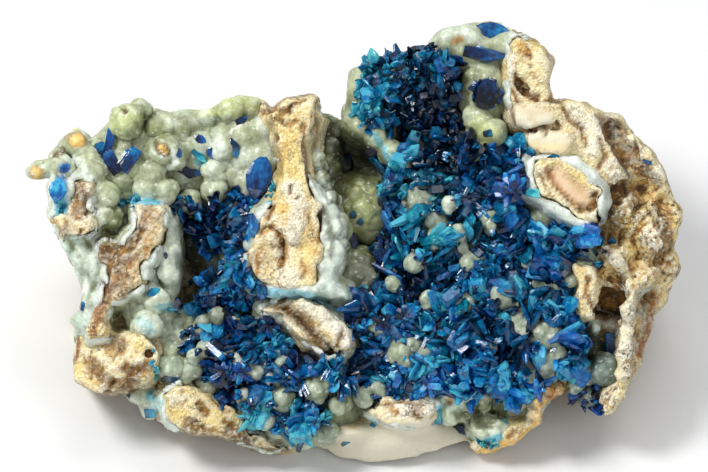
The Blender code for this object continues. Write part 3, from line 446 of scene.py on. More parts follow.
def smooth_min(one, two, blend):
    """Return the smaller of two distances, with a fillet between."""
    share = np.clip(0.5 + 0.5 * (one - two) / blend, 0.0, 1.0)
    return one * (1.0 - share) + two * share - blend * share * (1.0 - share)


def smooth_max(one, two, blend):
    """Return the larger of two distances, with a rounded edge between."""
    return -smooth_min(-one, -two, blend)


def smooth_cut(one, two, blend):
    """Return the first distance with the second form cut out of it."""
    return -smooth_min(-one, two, blend)


class Form:
    """A solid as a grid of distances in the face's frame, in mm."""

    def __init__(self, lumps, pitch):
        middles = np.array([to_frame(*lump[:3]) for lump in lumps])
        reach = np.array([(a * STEP_MM, b * STEP_MM, c) for *_, a, b, c in lumps]) + 0.6
        self.pitch = pitch
        self.low, high = (middles - reach).min(axis=0), (middles + reach).max(axis=0)
        counts = np.ceil((high - self.low) / pitch).astype(int) + 1
        self.axes = [low + pitch * np.arange(count) for low, count in zip(self.low, counts)]
        self.field = np.full(counts, FAR, dtype=np.float32)

    def window(self, *ends):
        """Return the slices of the grid between the ends on each axis."""
        return tuple(slice(*np.searchsorted(axis, pair)) for axis, pair in zip(self.axes, ends))

    def add(self, lumps, blend, join=smooth_min):
        """Join lumps on with a fillet, or cut them out."""
        for *place, half_u, half_v, half_w in lumps:
            sizes = rx, ry, rz = (half_u * STEP_MM, half_v * STEP_MM, half_w)
            middle, reach = np.array(to_frame(*place)), np.array(sizes) + FAR
            near = self.window(*zip(middle - reach, middle + reach))
            x, y, z = np.ix_(*(axis[part] - at for axis, part, at in zip(self.axes, near, middle)))
            ratio = np.sqrt((x / rx) ** 2 + (y / ry) ** 2 + (z / rz) ** 2 + TINY)
            slope = (x / rx ** 2) ** 2 + (y / ry ** 2) ** 2 + (z / rz ** 2) ** 2
            gap = ratio * (ratio - 1.0) / np.sqrt(slope + TINY / max(sizes) ** 2)
            self.field[near] = join(self.field[near], gap, blend)

    def add_section(self, section, grow=0.0, drop=0.0, seed=7, blend=0.10, edge=0.05, cut=False):
        """Join on or cut out a flat section, its outline grown and its top lowered, in mm."""
        left, right, line = section
        spread = (1.0 - max(left, right) / VIEW_MM) * STEP_MM
        (low_u, low_v), (high_u, high_v) = np.min(line, axis=0), np.max(line, axis=0)
        near = self.window(
            ((low_u - FACE_MIDDLE_U) * spread - 1.5, (high_u - FACE_MIDDLE_U) * spread + 1.5),
            ((FACE_MIDDLE_V - high_v) * spread - 1.5, (FACE_MIDDLE_V - low_v) * spread + 1.5),
            (SECTION_ROOT, max(left, right) + 0.9))
        x, y, z = (axis[part] for axis, part in zip(self.axes, near))
        across, upward = np.meshgrid(x, y, indexing="ij")
        flat = np.stack((across.ravel(), upward.ravel(), np.zeros(across.size)), axis=1)
        u, v = FACE_MIDDLE_U + across / spread, FACE_MIDDLE_V - upward / spread
        gap = plan_distance(u, v, line) * spread - grow
        gap += 0.24 * layered_noise(flat, 0.7, seed, 4).reshape(gap.shape)
        top = left - drop + (right - left) * (u - low_u) / (high_u - low_u)
        top += 0.16 * layered_noise(flat, 1.4, seed + 5, 3).reshape(gap.shape)
        above = z[None, None, :] - top[:, :, None]
        solid = smooth_max(above, gap[:, :, None] + FLARE * np.minimum(above, 0.0), edge)
        old = self.field[near]
        self.field[near] = np.maximum(old, -solid) if cut else smooth_min(old, solid, blend)

    def trim(self, round_edge):
        """Cut the solid to the outline and to the ground."""
        x, y, z = self.axes
        for layer, height in enumerate(z):
            spread = (1.0 - height / VIEW_MM) * STEP_MM
            gap = outline_distance(x / spread, y / spread) * spread
            both = smooth_max(self.field[:, :, layer], gap, round_edge)
            floor = FACE_CENTRE.z / MM + y * AXIS_UP.z + height * AXIS_OUT.z
            self.field[:, :, layer] = np.maximum(both, -floor[None, :])

    def warp(self, amount, size, seed):
        """Push the skin in and out by layered noise."""
        band = np.argwhere(np.abs(self.field) < amount + 2.0 * self.pitch)
        places = self.low + band * self.pitch
        self.field[tuple(band.T)] += amount * layered_noise(places, size, seed)

    def skin(self):
        """Return the places and the quads of the solid's skin."""
        field = np.pad(self.field, 1, constant_values=FAR)
        inside = field < 0.0
        shape = np.array(field.shape) - 1
        full = np.zeros(shape, dtype=np.uint8)
        for i, j, k in CORNERS:
            full += inside[i:i + shape[0], j:j + shape[1], k:k + shape[2]]
        cells = np.argwhere((full > 0) & (full < 8))
        numbers = np.full(shape, -1, dtype=np.int64)
        numbers[tuple(cells.T)] = np.arange(len(cells))
        total = np.zeros((len(cells), 3))
        crossings = np.zeros(len(cells))
        for first in CORNERS:
            for axis, step in enumerate(np.eye(3, dtype=int)):
                if first[axis]:
                    continue
                one, two = field[tuple((cells + first).T)], field[tuple((cells + first + step).T)]
                hit = (one < 0.0) != (two < 0.0)
                share = one[hit] / (one[hit] - two[hit])
                total[hit] += np.array(first) + share[:, None] * step
                crossings[hit] += 1.0
        places = self.low + (cells - 1 + total / crossings[:, None]) * self.pitch
        quads = []
        for axis, (side, other) in enumerate(((1, 2), (2, 0), (0, 1))):
            starts = np.delete(inside, -1, axis)
            ends = np.delete(inside, 0, axis)
            for found, order in ((starts & ~ends, 1), (~starts & ends, -1)):
                ring = []
                for a, b in ((-1, -1), (0, -1), (0, 0), (-1, 0)):
                    shifted = np.argwhere(found)
                    shifted[:, side] += a
                    shifted[:, other] += b
                    ring.append(numbers[tuple(shifted.T)])
                quads.append(np.stack(ring[::order], axis=1))
        return places, np.concatenate(quads)


def plan_distance(u, v, points):
    """Return the signed distance to a closed outline, in face steps."""
    nearest = np.full(u.shape, 1e9)
    crossed = np.zeros(u.shape, dtype=bool)
    for (u0, v0), (u1, v1) in zip(points, points[1:] + points[:1]):
        du, dv = u1 - u0, v1 - v0
        along = np.clip(((u - u0) * du + (v - v0) * dv) / (du * du + dv * dv), 0.0, 1.0)
        nearest = np.minimum(nearest, (u - u0 - along * du) ** 2 + (v - v0 - along * dv) ** 2)
        if v0 != v1:
            level = (v0 > v) != (v1 > v)
            crossed ^= level & (u < du * (v - v0) / dv + u0)
    return np.where(crossed, -1.0, 1.0) * np.sqrt(nearest)


def outline_distance(across, upward):
    """Return the distances to the outline for columns and rows of steps."""
    at_u = (FACE_MIDDLE_U + across - TABLE_U[0]) / TABLE_U[2]
    at_v = (FACE_MIDDLE_V - upward - TABLE_V[0]) / TABLE_V[2]
    at_u = np.clip(at_u, 0.0, OUTLINE_GAPS.shape[0] - 1.001)
    at_v = np.clip(at_v, 0.0, OUTLINE_GAPS.shape[1] - 1.001)
    i, j = at_u.astype(int), at_v.astype(int)
    part_i, part_j = (at_u - i)[:, None], (at_v - j)[None, :]
    low, high = (
        OUTLINE_GAPS[np.ix_(row, j)] * (1.0 - part_j) + OUTLINE_GAPS[np.ix_(row, j + 1)] * part_j
        for row in (i, i + 1))
    return low * (1.0 - part_i) + high * part_i


# The distances to the outline: first and last step, and how far apart
TABLE_U = (0, 710, 2)
TABLE_V = (-20, 500, 2)
OUTLINE_GAPS = plan_distance(*np.meshgrid(
    np.arange(*TABLE_U, dtype=float), np.arange(*TABLE_V, dtype=float), indexing="ij"), OUTLINE)


# Marks on the face: strokes and spots given by u and v

def stroke_share(u, v, points, reach, edge_noise):
    """Return how strongly a brush along the points covers each place."""
    nearest = np.full(len(u), 1e9)
    if len(points) == 1:
        points = points * 2
    for (u0, v0), (u1, v1) in zip(points, points[1:]):
        du, dv = u1 - u0, v1 - v0
        along = ((u - u0) * du + (v - v0) * dv) / max(du * du + dv * dv, 1e-6)
        along = np.clip(along, 0.0, 1.0)
        gap = np.hypot(u - u0 - along * du, v - v0 - along * dv)
        nearest = np.minimum(nearest, gap)
    return 1.0 - ease(nearest / reach + edge_noise, 0.55, 1.15)


def linear(red, green, blue):
    """Turn a screen colour from 0 to 255 into a linear one."""
    shares = np.array((red, green, blue)) / 255.0
    return np.where(shares <= 0.04045, shares / 12.92, ((shares + 0.055) / 1.055) ** 2.4)


COLOURS = {name: linear(*shares) for name, *shares in read_rows("""
cream 240 226 180; white 240 236 220; yellow 234 206 122; amber 238 190 98; ochre 188 134 48;
rust 140 82 32; brown 104 70 36; umber 52 36 18; mauve 124 102 92; grey 150 148 136; slate 88 90 86;
tan 196 172 122; pink 222 192 156; foot 214 208 186; mint 196 218 202; rind 216 226 214;
sage 168 176 142; lime 188 196 128; lichen 138 148 104; pearl 150 162 138; cloud 186 196 168;
olive 112 116 62; moss 62 66 34; murk 72 96 84; cyan 30 176 204; azure 20 118 200; teal 20 130 140
""")}
# Soft patches of colour on the rock: colour, strength, size in mm, seed, and
# the noise at which they start and are full
ROCK_WASHES = read_rows("yellow .7 1.5 41 -.1 .35; white .6 1 43 .1 .5; tan .6 2.2 45 0 .45")

# Marks on the rock: colour, reach in steps, strength, depth in mm (raised
# where it is negative), and the points of the brush
# The hollow left of the wall, darkened as painted shade
# The mouth of the right hollow, darkened as painted shade
ROCK_MARKS = read_brushes(4, """
# The wall
yellow 13 .45 0 296,112 290,160 294,200 300,262; amber 7 .55 0 284,142 280,172;
amber 7 .5 0 314,244 308,272; amber 5 .6 0 276,206 284,210; white 10 .7 -.06 292,186 299,206 292,240;
brown 3.5 .9 .12 262,112 272,107 284,111 296,103 304,98; brown 3 .8 .08 276,119 288,124 297,119;
brown 2.8 .9 .1 303,122 305,150 308,172 314,195; umber 4 1 .25 276,139; olive 5 .5 0 274,148 277,172;
brown 3.5 .95 .22 262,205 271,206 268,216; ochre 5 .8 .14 262,230 274,226 282,240 285,256 281,264;
umber 3 .9 .24 275,229 281,243 283,258; umber 4 1 .32 322,214 324,223; ochre 4 .8 .1 323,228 322,240;
ochre 3.5 .8 .15 319,267 320,282; ochre 3 .7 .12 257,256 258,273;
brown 2.5 .7 .08 300,261 306,270 302,277;
# The chunk below the wall
brown 9 .8 .15 282,305 297,317 310,330 322,345 332,357;
umber 4.5 1 .35 284,307 297,318 310,331 321,345 331,356;
white 8 .7 -.18 306,303 322,315 336,329 344,344; umber 2.5 1 .2 341,331 338,344 342,357;
amber 4 .8 0 338,359 345,362; tan 6 .6 0 268,300 278,309;
# The section at the far left
brown 9 .85 .08 77,184 81,200 79,214; mauve 8 .7 0 72,218 66,229 58,237; cream 4 .7 -.05 62,214 74,222;
umber 4 1 .25 88,212; umber 4 1 .25 81,231; ochre 4 .8 0 52,222 55,231;
brown 12 .8 .05 97,244 114,255 130,252 144,232 150,214; rust 9 .4 0 132,270 126,292 108,292;
umber 6 .8 .08 136,228 132,240 104,248; ochre 5 .8 0 149,240 147,250; mauve 9 .7 0 126,262 117,283;
umber 3 .8 .15 110,250 120,254 133,246 142,230; tan 5 .8 -.06 140,250 152,232 154,216;
tan 6 .8 -.05 128,284 120,298; rust 6 .85 .05 108,268 106,288 102,304 97,320 92,334;
umber 4 .7 .12 110,262 105,282 101,300; brown 10 .75 .04 104,250 112,270 104,292;
# The mouth of the right hollow
moss 12 .95 .1 586,336 602,338 604,350 592,354;
# The lower left mass and its block
yellow 9 .8 0 76,371 90,383; yellow 8 .8 -.1 138,340 146,349; rust 4 1 .3 149,353;
brown 8 .85 .12 121,342 118,361 132,373 150,366; umber 3 .9 .1 118,350 126,366 142,372;
brown 8 .85 .12 91,361 102,374 112,384 128,386; umber 4 .9 .2 113,381 108,392;
cream 6 .9 -.12 99,351 111,367 122,360; slate 5 .7 .1 131,375 138,382; rust 3 .9 0 77,338 78,352 72,363;
white 10 .6 -.05 176,400 196,408; yellow 10 .55 0 176,412 210,402 236,416;
brown 4.5 .9 .2 200,404 207,413; brown 3.5 .9 .15 221,404 227,411;
brown 3 .8 .12 186,426 213,430 236,438; umber 4 .9 .16 226,421 240,431 247,442;
brown 6 .7 0 186,432 210,438 240,449 282,455; mauve 5 .7 0 228,430 246,442;
brown 2.2 .8 .08 228,443 260,450 290,453;
# The granular edge of the upper right block
ochre 6 .8 .05 523,47 530,56; umber 4 .9 .28 515,75 520,85 529,95 536,98; brown 3 .8 .15 512,91 517,101;
brown 4 .8 0 518,32 530,39; umber 3 .8 .1 487,17 496,21; cream 8 .7 -.1 538,58 546,76;
yellow 5 .6 0 531,41 541,51; white 5 .6 -.06 511,58 509,82;
# The plates and the plateau
foot 13 .95 -.14 520,116 544,119; foot 13 .95 -.12 538,141 560,143;
tan 5 .45 .03 518,108 534,112 548,110; yellow 6 .4 .02 534,146 552,150 566,146;
tan 3 .5 .04 530,118 536,124; brown 2.2 1 .34 522,131 535,130 547,126 558,124;
brown 2 .9 .18 543,128 546,136; brown 2.2 .8 .15 511,106 515,124;
white 10 .6 -.05 574,108 600,128 592,150; brown 3 .8 .15 563,104 569,119 582,130 586,146;
brown 3 .7 .12 600,140 606,156 600,168; umber 4 .8 .2 549,99 560,99; white 8 .6 -.06 610,166 618,182;
# The core of the ringed hollow
cream 9 .8 0 541,168 548,190 562,203 580,214; yellow 5 .9 0 546,164 566,168 580,178 592,192;
pink 13 .95 .1 557,176 568,185 584,200; umber 5 .9 .2 582,208 592,208 596,198;
rust 3.5 .85 .08 547,169 554,184 566,197 578,207; brown 2 .8 .06 540,176 544,184 552,196;
tan 3 .7 .05 566,176 578,188 586,198;
# The right side
grey 9 .85 .15 614,132 626,152 642,168 656,184; slate 5 .85 .2 603,124 612,138 624,160 632,176;
umber 5 .8 .15 600,114 616,119 626,129; brown 15 .7 .12 636,196 616,216 606,240;
umber 8 .9 .3 624,188 611,200 604,216; umber 4 .8 .2 640,205 630,222 622,240;
yellow 5 .7 -.08 632,212 626,236 632,252; grey 8 .7 .05 655,212 664,226; grey 7 .7 .05 647,240 656,252;
rust 5 .7 .05 650,195 668,210 672,222; brown 6 .8 .1 668,232 670,246 660,262;
yellow 5 .8 -.05 676,206 680,250 674,268; tan 7 .7 0 644,262 662,276;
cream 5.5 .95 -.3 606,250 622,266 628,292 627,340 625,376; yellow 5.5 .95 -.25 625,376 616,398 607,412;
cream 8 .85 -.05 592,262 588,300 591,320; umber 13 .95 .6 606,312 614,298 620,290;
brown 9 .8 -.2 606,304 614,296;
# The dark hollow left of the wall
umber 9 .9 .1 196,270 206,296 198,312;
# The right side round its hollow
brown 3 .9 .15 588,278 586,292 592,306; grey 13 .75 .1 645,296 650,326 640,348;
mint 6 .6 0 640,286 652,300; rust 5 .85 .05 656,298 650,328 642,356; brown 4 .8 .12 610,252 600,262;
# The bottom edge
ochre 13 1 0 546,392 560,389; rust 4 .8 .18 548,396 555,388; rust 3 .8 .15 542,404 560,398;
amber 8 .95 0 474,456 500,448 525,436 541,424 543,404; rust 4 .8 .1 508,437 514,431;
white 11 .8 -.06 392,411 428,408; ochre 5 .85 .08 386,404 394,412; umber 4 .9 .2 413,413 421,419;
brown 3 .75 .1 372,406 402,401 418,404; amber 5 .7 0 352,426 362,420;
foot 26 1 0 330,448 400,448 452,440; foot 12 1 0 380,432 440,430
""")
# Where the rock is smooth, as brushes of reach and points
SMOOTH_MARKS = read_brushes(1, """
11 520,116 544,119; 11 538,141 560,143; 9 558,178 584,200; 28 330,448 400,448 452,440;
14 380,432 440,430
""")
# Where the crust is flat, in the same form
FLAT_MARKS = read_brushes(1, "22 264,122 268,190; 22 78,240 84,312; 14 172,215 172,285")
FLAT_MARKS.append((14, RING_RIND))
# Marks on the crusts, as those on the rock
# The cavity right of the wall; its olive and dark moss-green marks are painted shade
# The hollow left of the wall, darkened as painted shade
# The right hollow, its dark green marks painted shade
CRUST_MARKS = read_brushes(4, """
# The top of the left crust
lime 14 .75 0 204,106 262,99; lime 15 .6 0 127,116 118,124; olive 13 .6 0 146,122 172,136;
olive 12 .7 .1 113,216 118,226 108,236; olive 9 .6 0 184,122 192,128; rust 3.5 1 .2 125,110;
rust 10 .9 0 76,141; amber 8 1 .03 76,141; yellow 3.5 .9 -.02 76,141; ochre 9 .9 0 36,173;
yellow 6 .9 0 36,173; brown 5 .9 .05 57,155 62,150; brown 7 .85 .12 158,146 166,153;
amber 3.5 .9 0 161,147 166,152; rind 3.5 .9 -.05 174,152 176,162 168,168;
# Round the eye at the far left
rind 7 .8 0 50,178 48,196 56,212; rind 5 .8 0 68,158 80,162 84,172; azure 7 .8 0 60,180 58,196;
cyan 7 .8 0 60,200 61,212; azure 6 .7 0 64,168;
# The left crust below it
mint 14 .7 0 72,240 80,265 70,300 82,325; rind 8 .6 0 92,236 86,252 96,272 90,292;
rind 6 .7 -.04 160,205 163,235 160,262 150,290; sage 10 .6 0 174,215 174,250 176,285;
cyan 7 .55 0 142,320 150,330;
# The dark hollow left of the wall
moss 17 .9 0 190,222 190,262 196,296 204,314;
# The ridges of the left crust, and blue stains round the wall
sage 2.5 .9 .05 68,240 84,262 80,290 76,310; sage 2.5 .9 .05 84,238 100,262 94,286 82,312;
cyan 5 .6 0 160,308 182,309; cyan 5 .8 0 133,200 158,204; cyan 7 .8 0 268,186 278,194 272,200;
rind 8 .6 0 262,118 272,140 270,170 268,186; rind 8 .6 0 219,146 222,150; cyan 5 .7 0 199,155 200,163;
mint 10 .6 0 250,245 252,262 262,284; cyan 7 .6 0 262,292 292,294 316,300 340,306;
cyan 6 .6 0 268,338 280,345 276,356; azure 5 .7 0 156,346 154,366 152,380;
cyan 5 .7 0 150,396 160,402 152,412; mint 10 .6 0 165,395 158,410; cyan 8 .5 0 250,410 262,418;
# The cavity right of the wall
olive 30 .7 0 330,125 352,120 345,160; moss 20 .9 0 330,138 345,146 372,158;
moss 14 .8 0 332,176 336,210 340,250; moss 14 .8 0 392,196 400,230 382,256;
lime 20 .35 0 360,205 352,222; grey 16 .5 0 355,270 366,284; mint 12 .8 0 330,290 346,300 352,314;
rind 6 .9 0 318,112 312,140 316,168 326,198; rind 7 .85 0 334,210 340,230 340,256 332,280 336,300;
sage 10 .7 0 346,116 366,130 388,150 402,166; cyan 4 .6 0 372,134 384,148 388,158;
# The slab and its ridge
olive 12 .5 0 452,72 470,78 474,100; lime 14 .6 0 474,128 490,138; rind 3 .8 0 505,62 506,84 508,108;
rind 8 .5 0 446,32 462,30 478,40; ochre 4 .8 0 454,42 460,38;
# The lower edge
olive 14 .75 .15 466,412 484,414 498,410; cyan 5 .8 0 508,420 516,422;
cyan 5 .8 0 478,446 490,442 502,436; cyan 5 .8 0 438,408 438,424; mint 10 .6 0 446,396 460,404;
cyan 6 .6 0 372,424 364,430;
# The right hollow
murk 20 .7 0 600,352 606,376 596,392; rind 7 .7 0 594,328 590,336; mint 8 .8 0 575,382;
moss 15 .95 0 586,338 592,352;
# Pale washes over these
rind 20 .5 0 84,262 88,300; rind 12 .5 0 170,215 172,285; rind 18 .45 0 140,312 168,332;
cream 9 .6 0 450,392 470,392 500,392; ochre 4 .7 0 457,394 449,402
""")

# The zones of the blades: u, v, reach, how cobalt (0 is teal) and how light
# The cavity, its blades darkened as painted shade
# The hollow left of the wall, its blades darkened as painted shade
# The upper right block, its blades darkened in the deep pocket as painted shade
TONE_ZONES = read_rows("""
# The upper right block
365 85 28 .25 .85; 355 100 16 .15 .95; 405 72 28 .45 -.05; 430 104 30 .55 -.25; 442 132 26 .55 -.35;
444 160 16 .5 -.4; 445 75 14 .55 .5;
# The cavity
345 165 24 .7 .12; 352 243 18 .6 .22; 395 225 24 .75 .35;
# The main field
420 170 30 .45 .55; 420 205 26 .2 .85; 450 180 24 .5 .45; 500 160 26 .85 .5; 515 145 16 .6 .7;
480 200 26 .6 .5; 520 195 26 .95 .55; 545 235 22 .6 .5; 570 235 22 .85 .65; 560 255 20 .9 .75;
460 235 30 .35 .6; 430 255 24 .35 .6; 500 260 30 .7 .42; 440 290 30 .65 .42; 480 300 34 .5 .38;
530 300 26 .6 .45; 390 320 30 .75 .4; 430 330 30 .5 .5; 475 340 34 .6 .35; 560 310 26 .85 .65;
575 345 20 .7 .6; 410 370 30 .85 .5; 450 375 26 .9 .55; 430 395 20 .85 .8; 510 385 28 .8 .62;
375 360 26 .6 .45; 490 372 22 .7 .45;
# The dark hollow left of the wall
235 290 28 .9 .42; 205 230 26 .7 0; 205 262 24 .6 0; 218 214 14 .7 .1; 248 222 16 .95 .4;
232 205 14 .6 .7; 245 262 14 .35 .7; 190 300 20 .6 .15;
# Below the wall
215 335 20 .75 .5; 230 372 20 .95 .45; 265 335 16 .3 .7; 300 380 24 .8 .35; 335 375 20 .75 .45;
300 410 24 .4 .75; 270 400 18 .7 .5; 252 412 12 .1 1; 320 430 16 .4 .6;
# The tufts on the crusts
131 203 14 .2 .75; 273 191 10 .2 .85; 155 366 16 .2 .8; 597 263 16 .3 .5; 586 399 14 .9 .15;
488 444 12 .1 .9; 182 208 14 .4 .4; 60 200 12 .3 .85
""")


# Skins: noise, marks and colours on the places of a skin

def without_slivers(places, quads, least):
    """Drop the parts of a skin that have fewer places than the least."""
    label = np.arange(len(places))
    edges = np.concatenate((quads[:, [0, 1]], quads[:, [1, 2]], quads[:, [2, 3]]))
    while True:
        one, two = label[edges[:, 0]], label[edges[:, 1]]
        low = np.minimum(one, two)
        after = label.copy()
        np.minimum.at(after, one, low)
        np.minimum.at(after, two, low)
        for _ in range(4):
            after = after[after]
        if np.array_equal(after, label):
            break
        label = after
    kept = np.bincount(label, minlength=len(places))[label] >= least
    numbers = np.cumsum(kept) - 1
    return places[kept], numbers[quads[kept[quads[:, 0]]]]


def turned_normals(places, quads):
    """Return the outward normals of the skin's places."""
    one = places[quads[:, 2]] - places[quads[:, 0]]
    two = places[quads[:, 3]] - places[quads[:, 1]]
    faces = np.cross(one, two)
    total = np.zeros_like(places)
    for corner in range(4):
        for axis in range(3):
            total[:, axis] += np.bincount(quads[:, corner], faces[:, axis], len(places))
    return total / np.maximum(np.linalg.norm(total, axis=1), 1e-9)[:, None]


def neighbour_mean(values, quads):
    """Return the mean of each place's neighbours along the quads' edges."""
    count = len(values)
    total = np.zeros((count, values.shape[1]))
    number = np.zeros(count)
    for corner in range(4):
        start, end = quads[:, corner], quads[:, (corner + 1) % 4]
        number += np.bincount(start, minlength=count)
        for axis in range(values.shape[1]):
            total[:, axis] += np.bincount(start, values[end, axis], count)
    return total / np.maximum(number, 1.0)[:, None]


def evened(places, quads, rounds, share=0.5):
    """Even out the steps of a skin."""
    for _ in range(rounds):
        places = places + share * (neighbour_mean(places, quads) - places)
    return places


def hollowness(places, normals, quads, rounds):
    """Return how far the skin around lies above each place, in mm."""
    return ((evened(places, quads, rounds) - places) * normals).sum(axis=1)


def keep_above_floor(places):
    """Keep the places at or above the resting flat."""
    height = FACE_CENTRE.z / MM + places[:, 1] * AXIS_UP.z + places[:, 2] * AXIS_OUT.z
    lift = np.maximum(-height, 0.0)[:, None]
    return places + lift * np.array((0.0, AXIS_UP.z, AXIS_OUT.z))


def mixed(tint, colour, share):
    """Mix a colour, or one of COLOURS by its name, into the tints by a share from 0 to 1."""
    share = np.clip(share, 0.0, 1.0)[:, None]
    return tint * (1.0 - share) + (COLOURS[colour] if isinstance(colour, str) else colour) * share


def laid_marks(marks, places, normals, tint, depth):
    """Brush the marks on the front of a skin, as tint and as depth."""
    u, v, _ = to_face(places)
    front = ease(normals[:, 2], -0.15, 0.25)
    edge = 0.30 * value_noise(places, 0.45, 71) + 0.22 * value_noise(places, 0.2, 72)
    for colour, reach, strength, deep, line in marks:
        (low_u, low_v), (high_u, high_v) = np.min(line, axis=0), np.max(line, axis=0)
        wide = reach * 1.6
        near = (u > low_u - wide) & (u < high_u + wide) & (v > low_v - wide) & (v < high_v + wide)
        near = np.nonzero(near)[0]
        if len(near):
            share = stroke_share(u[near], v[near], line, reach, edge[near]) * front[near]
            tint[near] = mixed(tint[near], colour, share * strength)
            depth[near] += share * deep
    return tint, depth


def linked(name, data):
    """Return a new object of the data, in the scene."""
    thing = bpy.data.objects.new(name, data)
    bpy.context.scene.collection.objects.link(thing)
    return thing


def keep_colour(mesh, label, values):
    """Keep a colour for each place of a mesh, for its material."""
    layer = mesh.attributes.new(label, "FLOAT_COLOR", "POINT")
    padded = np.ones((len(values), 4), dtype=np.float32)
    padded[:, :3] = np.clip(values, 0.0, 1.0)
    layer.data.foreach_set("color", padded.ravel())


def skin_object(name, places, quads, tint, marks):
    """Make an object of a skin with its colour attributes."""
    mesh = bpy.data.meshes.new(name)
    mesh.from_pydata(to_world(keep_above_floor(places)).tolist(), [], quads.tolist())
    keep_colour(mesh, "tint", tint)
    keep_colour(mesh, "marks", marks)
    mesh.polygons.foreach_set("use_smooth", np.full(len(quads), True))
    mesh.update()
    return linked(name, mesh)


def tree_of(things):
    """Return one search tree over the faces of several objects."""
    vertices = []
    faces = []
    for thing in things:
        start = len(vertices)
        vertices.extend(vertex.co.copy() for vertex in thing.data.vertices)
        faces.extend([start + at for at in polygon.vertices] for polygon in thing.data.polygons)
    return BVHTree.FromPolygons(vertices, faces)


def face_vector(x, y, z):
    """Return the world direction of a direction in the face's frame."""
    return AXIS_RIGHT * x + AXIS_UP * y + AXIS_OUT * z


def face_point(u, v, w):
    """Return the world place of a point of the face, w millimetres out."""
    return FACE_CENTRE + face_vector(*to_frame(u, v, w)) * MM


def landing(tree, u, v):
    """Return the place and normal where the sight line through u, v lands."""
    start = face_point(u, v, FRONT_CAP)
    aim = (face_point(u, v, BACK_CAP) - start).normalized()
    place, normal, _, _ = tree.ray_cast(start, aim)
    if place is not None and normal.dot(aim) > 0.0:
        normal = -normal
    return place, normal


# The rock, the crusts and the grounds of the druses

def section_seed(name):
    """Return the seed of the ragged edge of a section."""
    return 20 + 3 * list(ROCK_SECTIONS).index(name)


def make_rock():
    """Model the matrix rock: its form, grains, cracks and colours."""
    form = Form(ROCK_LUMPS, ROCK_PITCH)
    form.add(ROCK_LUMPS, 0.30)
    form.add(ROCK_RIGHT, 0.70)
    form.warp(0.28, 1.5, 3)
    for name, section in ROCK_SECTIONS.items():
        form.add_section(section, seed=section_seed(name))
    form.add(ROCK_HOLES, 0.15, smooth_cut)
    form.trim(0.25)
    form.warp(0.10, 0.8, 4)
    places, quads = form.skin()
    places = evened(places, quads, 1)
    normals = turned_normals(places, quads)
    u, v, _ = to_face(places)
    smooth_share = np.zeros(len(places))
    for reach, line in SMOOTH_MARKS:
        share = stroke_share(u, v, line, reach, 0.0) * ease(normals[:, 2], 0.0, 0.3)
        smooth_share = np.maximum(smooth_share, share)
    # Rougher in front and at the right side, smoother on the plateau
    rough = (1.0 - 0.9 * smooth_share) * (0.6 + 0.4 * ease(normals[:, 2], 0.2, 0.75))
    rough *= 1.0 + 0.5 * ease(u, *RIGHT_U) * ease(v, *RIGHT_V)
    plateau = ease(u, *PLATEAU_FROM_U) * (1.0 - ease(u, *PLATEAU_TO_U)) * (1.0 - ease(v, *PLATEAU_TO_V))
    rough *= 1.0 - 0.45 * plateau
    coarse = layered_noise(places, 1.1, 5)
    fine = layered_noise(places, 0.5, 31, 4)
    moved = places + 0.22 * np.stack((coarse, fine, -coarse), axis=1)
    near, after = cell_noise(moved, 0.45, 11)
    crack = (1.0 - ease(after - near, 0.0, 0.22)) * patches(places, 2.0, 21, -0.35, 0.30)
    pits = patches(moved, 0.42, 61, 0.22, 0.6, 2) * patches(places, 2.4, 63, -0.3, 0.4)
    depth = rough * (0.06 * coarse + 0.10 * fine + 0.10 * crack + 0.16 * pits)
    # The back and the sides have larger broken faces, in grey and brown bands
    away = 1.0 - ease(normals[:, 2], 0.05, 0.65)
    far, farther = cell_noise(moved + 0.9 * coarse[:, None], 2.7, 13)
    grooves = 0.15 * (1.0 - ease(farther - far, 0.0, 0.25))
    depth += away * (grooves + 0.20 * layered_noise(places, 2.2, 15))
    band = places @ np.array((0.25, 0.35, 1.0)) + 0.5 * layered_noise(places, 2.0, 47)
    band = ease(0.5 + 0.5 * np.sin(band * 3.4), 0.3, 0.9)
    tint = np.tile(COLOURS["cream"], (len(places), 1))
    for colour, strength, size, seed, low, high in ROCK_WASHES:
        tint = mixed(tint, colour, strength * patches(places, size, seed, low, high))
    tint = mixed(tint, "grey", away * 0.5 * band)
    tint = mixed(tint, "brown", away * 0.75 * patches(places, 1.5, 49, -0.15, 0.35))
    tint, depth = laid_marks(ROCK_MARKS, places, normals, tint, depth)
    places = evened(places - normals * depth[:, None], quads, 1, 0.15)
    hollow = hollowness(places, turned_normals(places, quads), quads, 3)
    tint = mixed(tint, "ochre", 0.6 * ease(hollow, 0.005, 0.03) * rough)
    tint = mixed(tint, "brown", 0.85 * ease(hollow, 0.02, 0.06) * rough)
    tint = mixed(tint, "umber", 0.8 * ease(hollow, 0.05, 0.12))
    tint = mixed(tint, "white", 0.45 * ease(-hollow, 0.01, 0.05) * rough)
    speck = rough * (0.35 + 0.65 * patches(places, 0.9, 53, -0.1, 0.4))
    marks = np.stack((speck, smooth_share, ease(hollow, 0.0, 0.1)), axis=1)
    return skin_object("rock_matrix", places, quads, tint, marks)


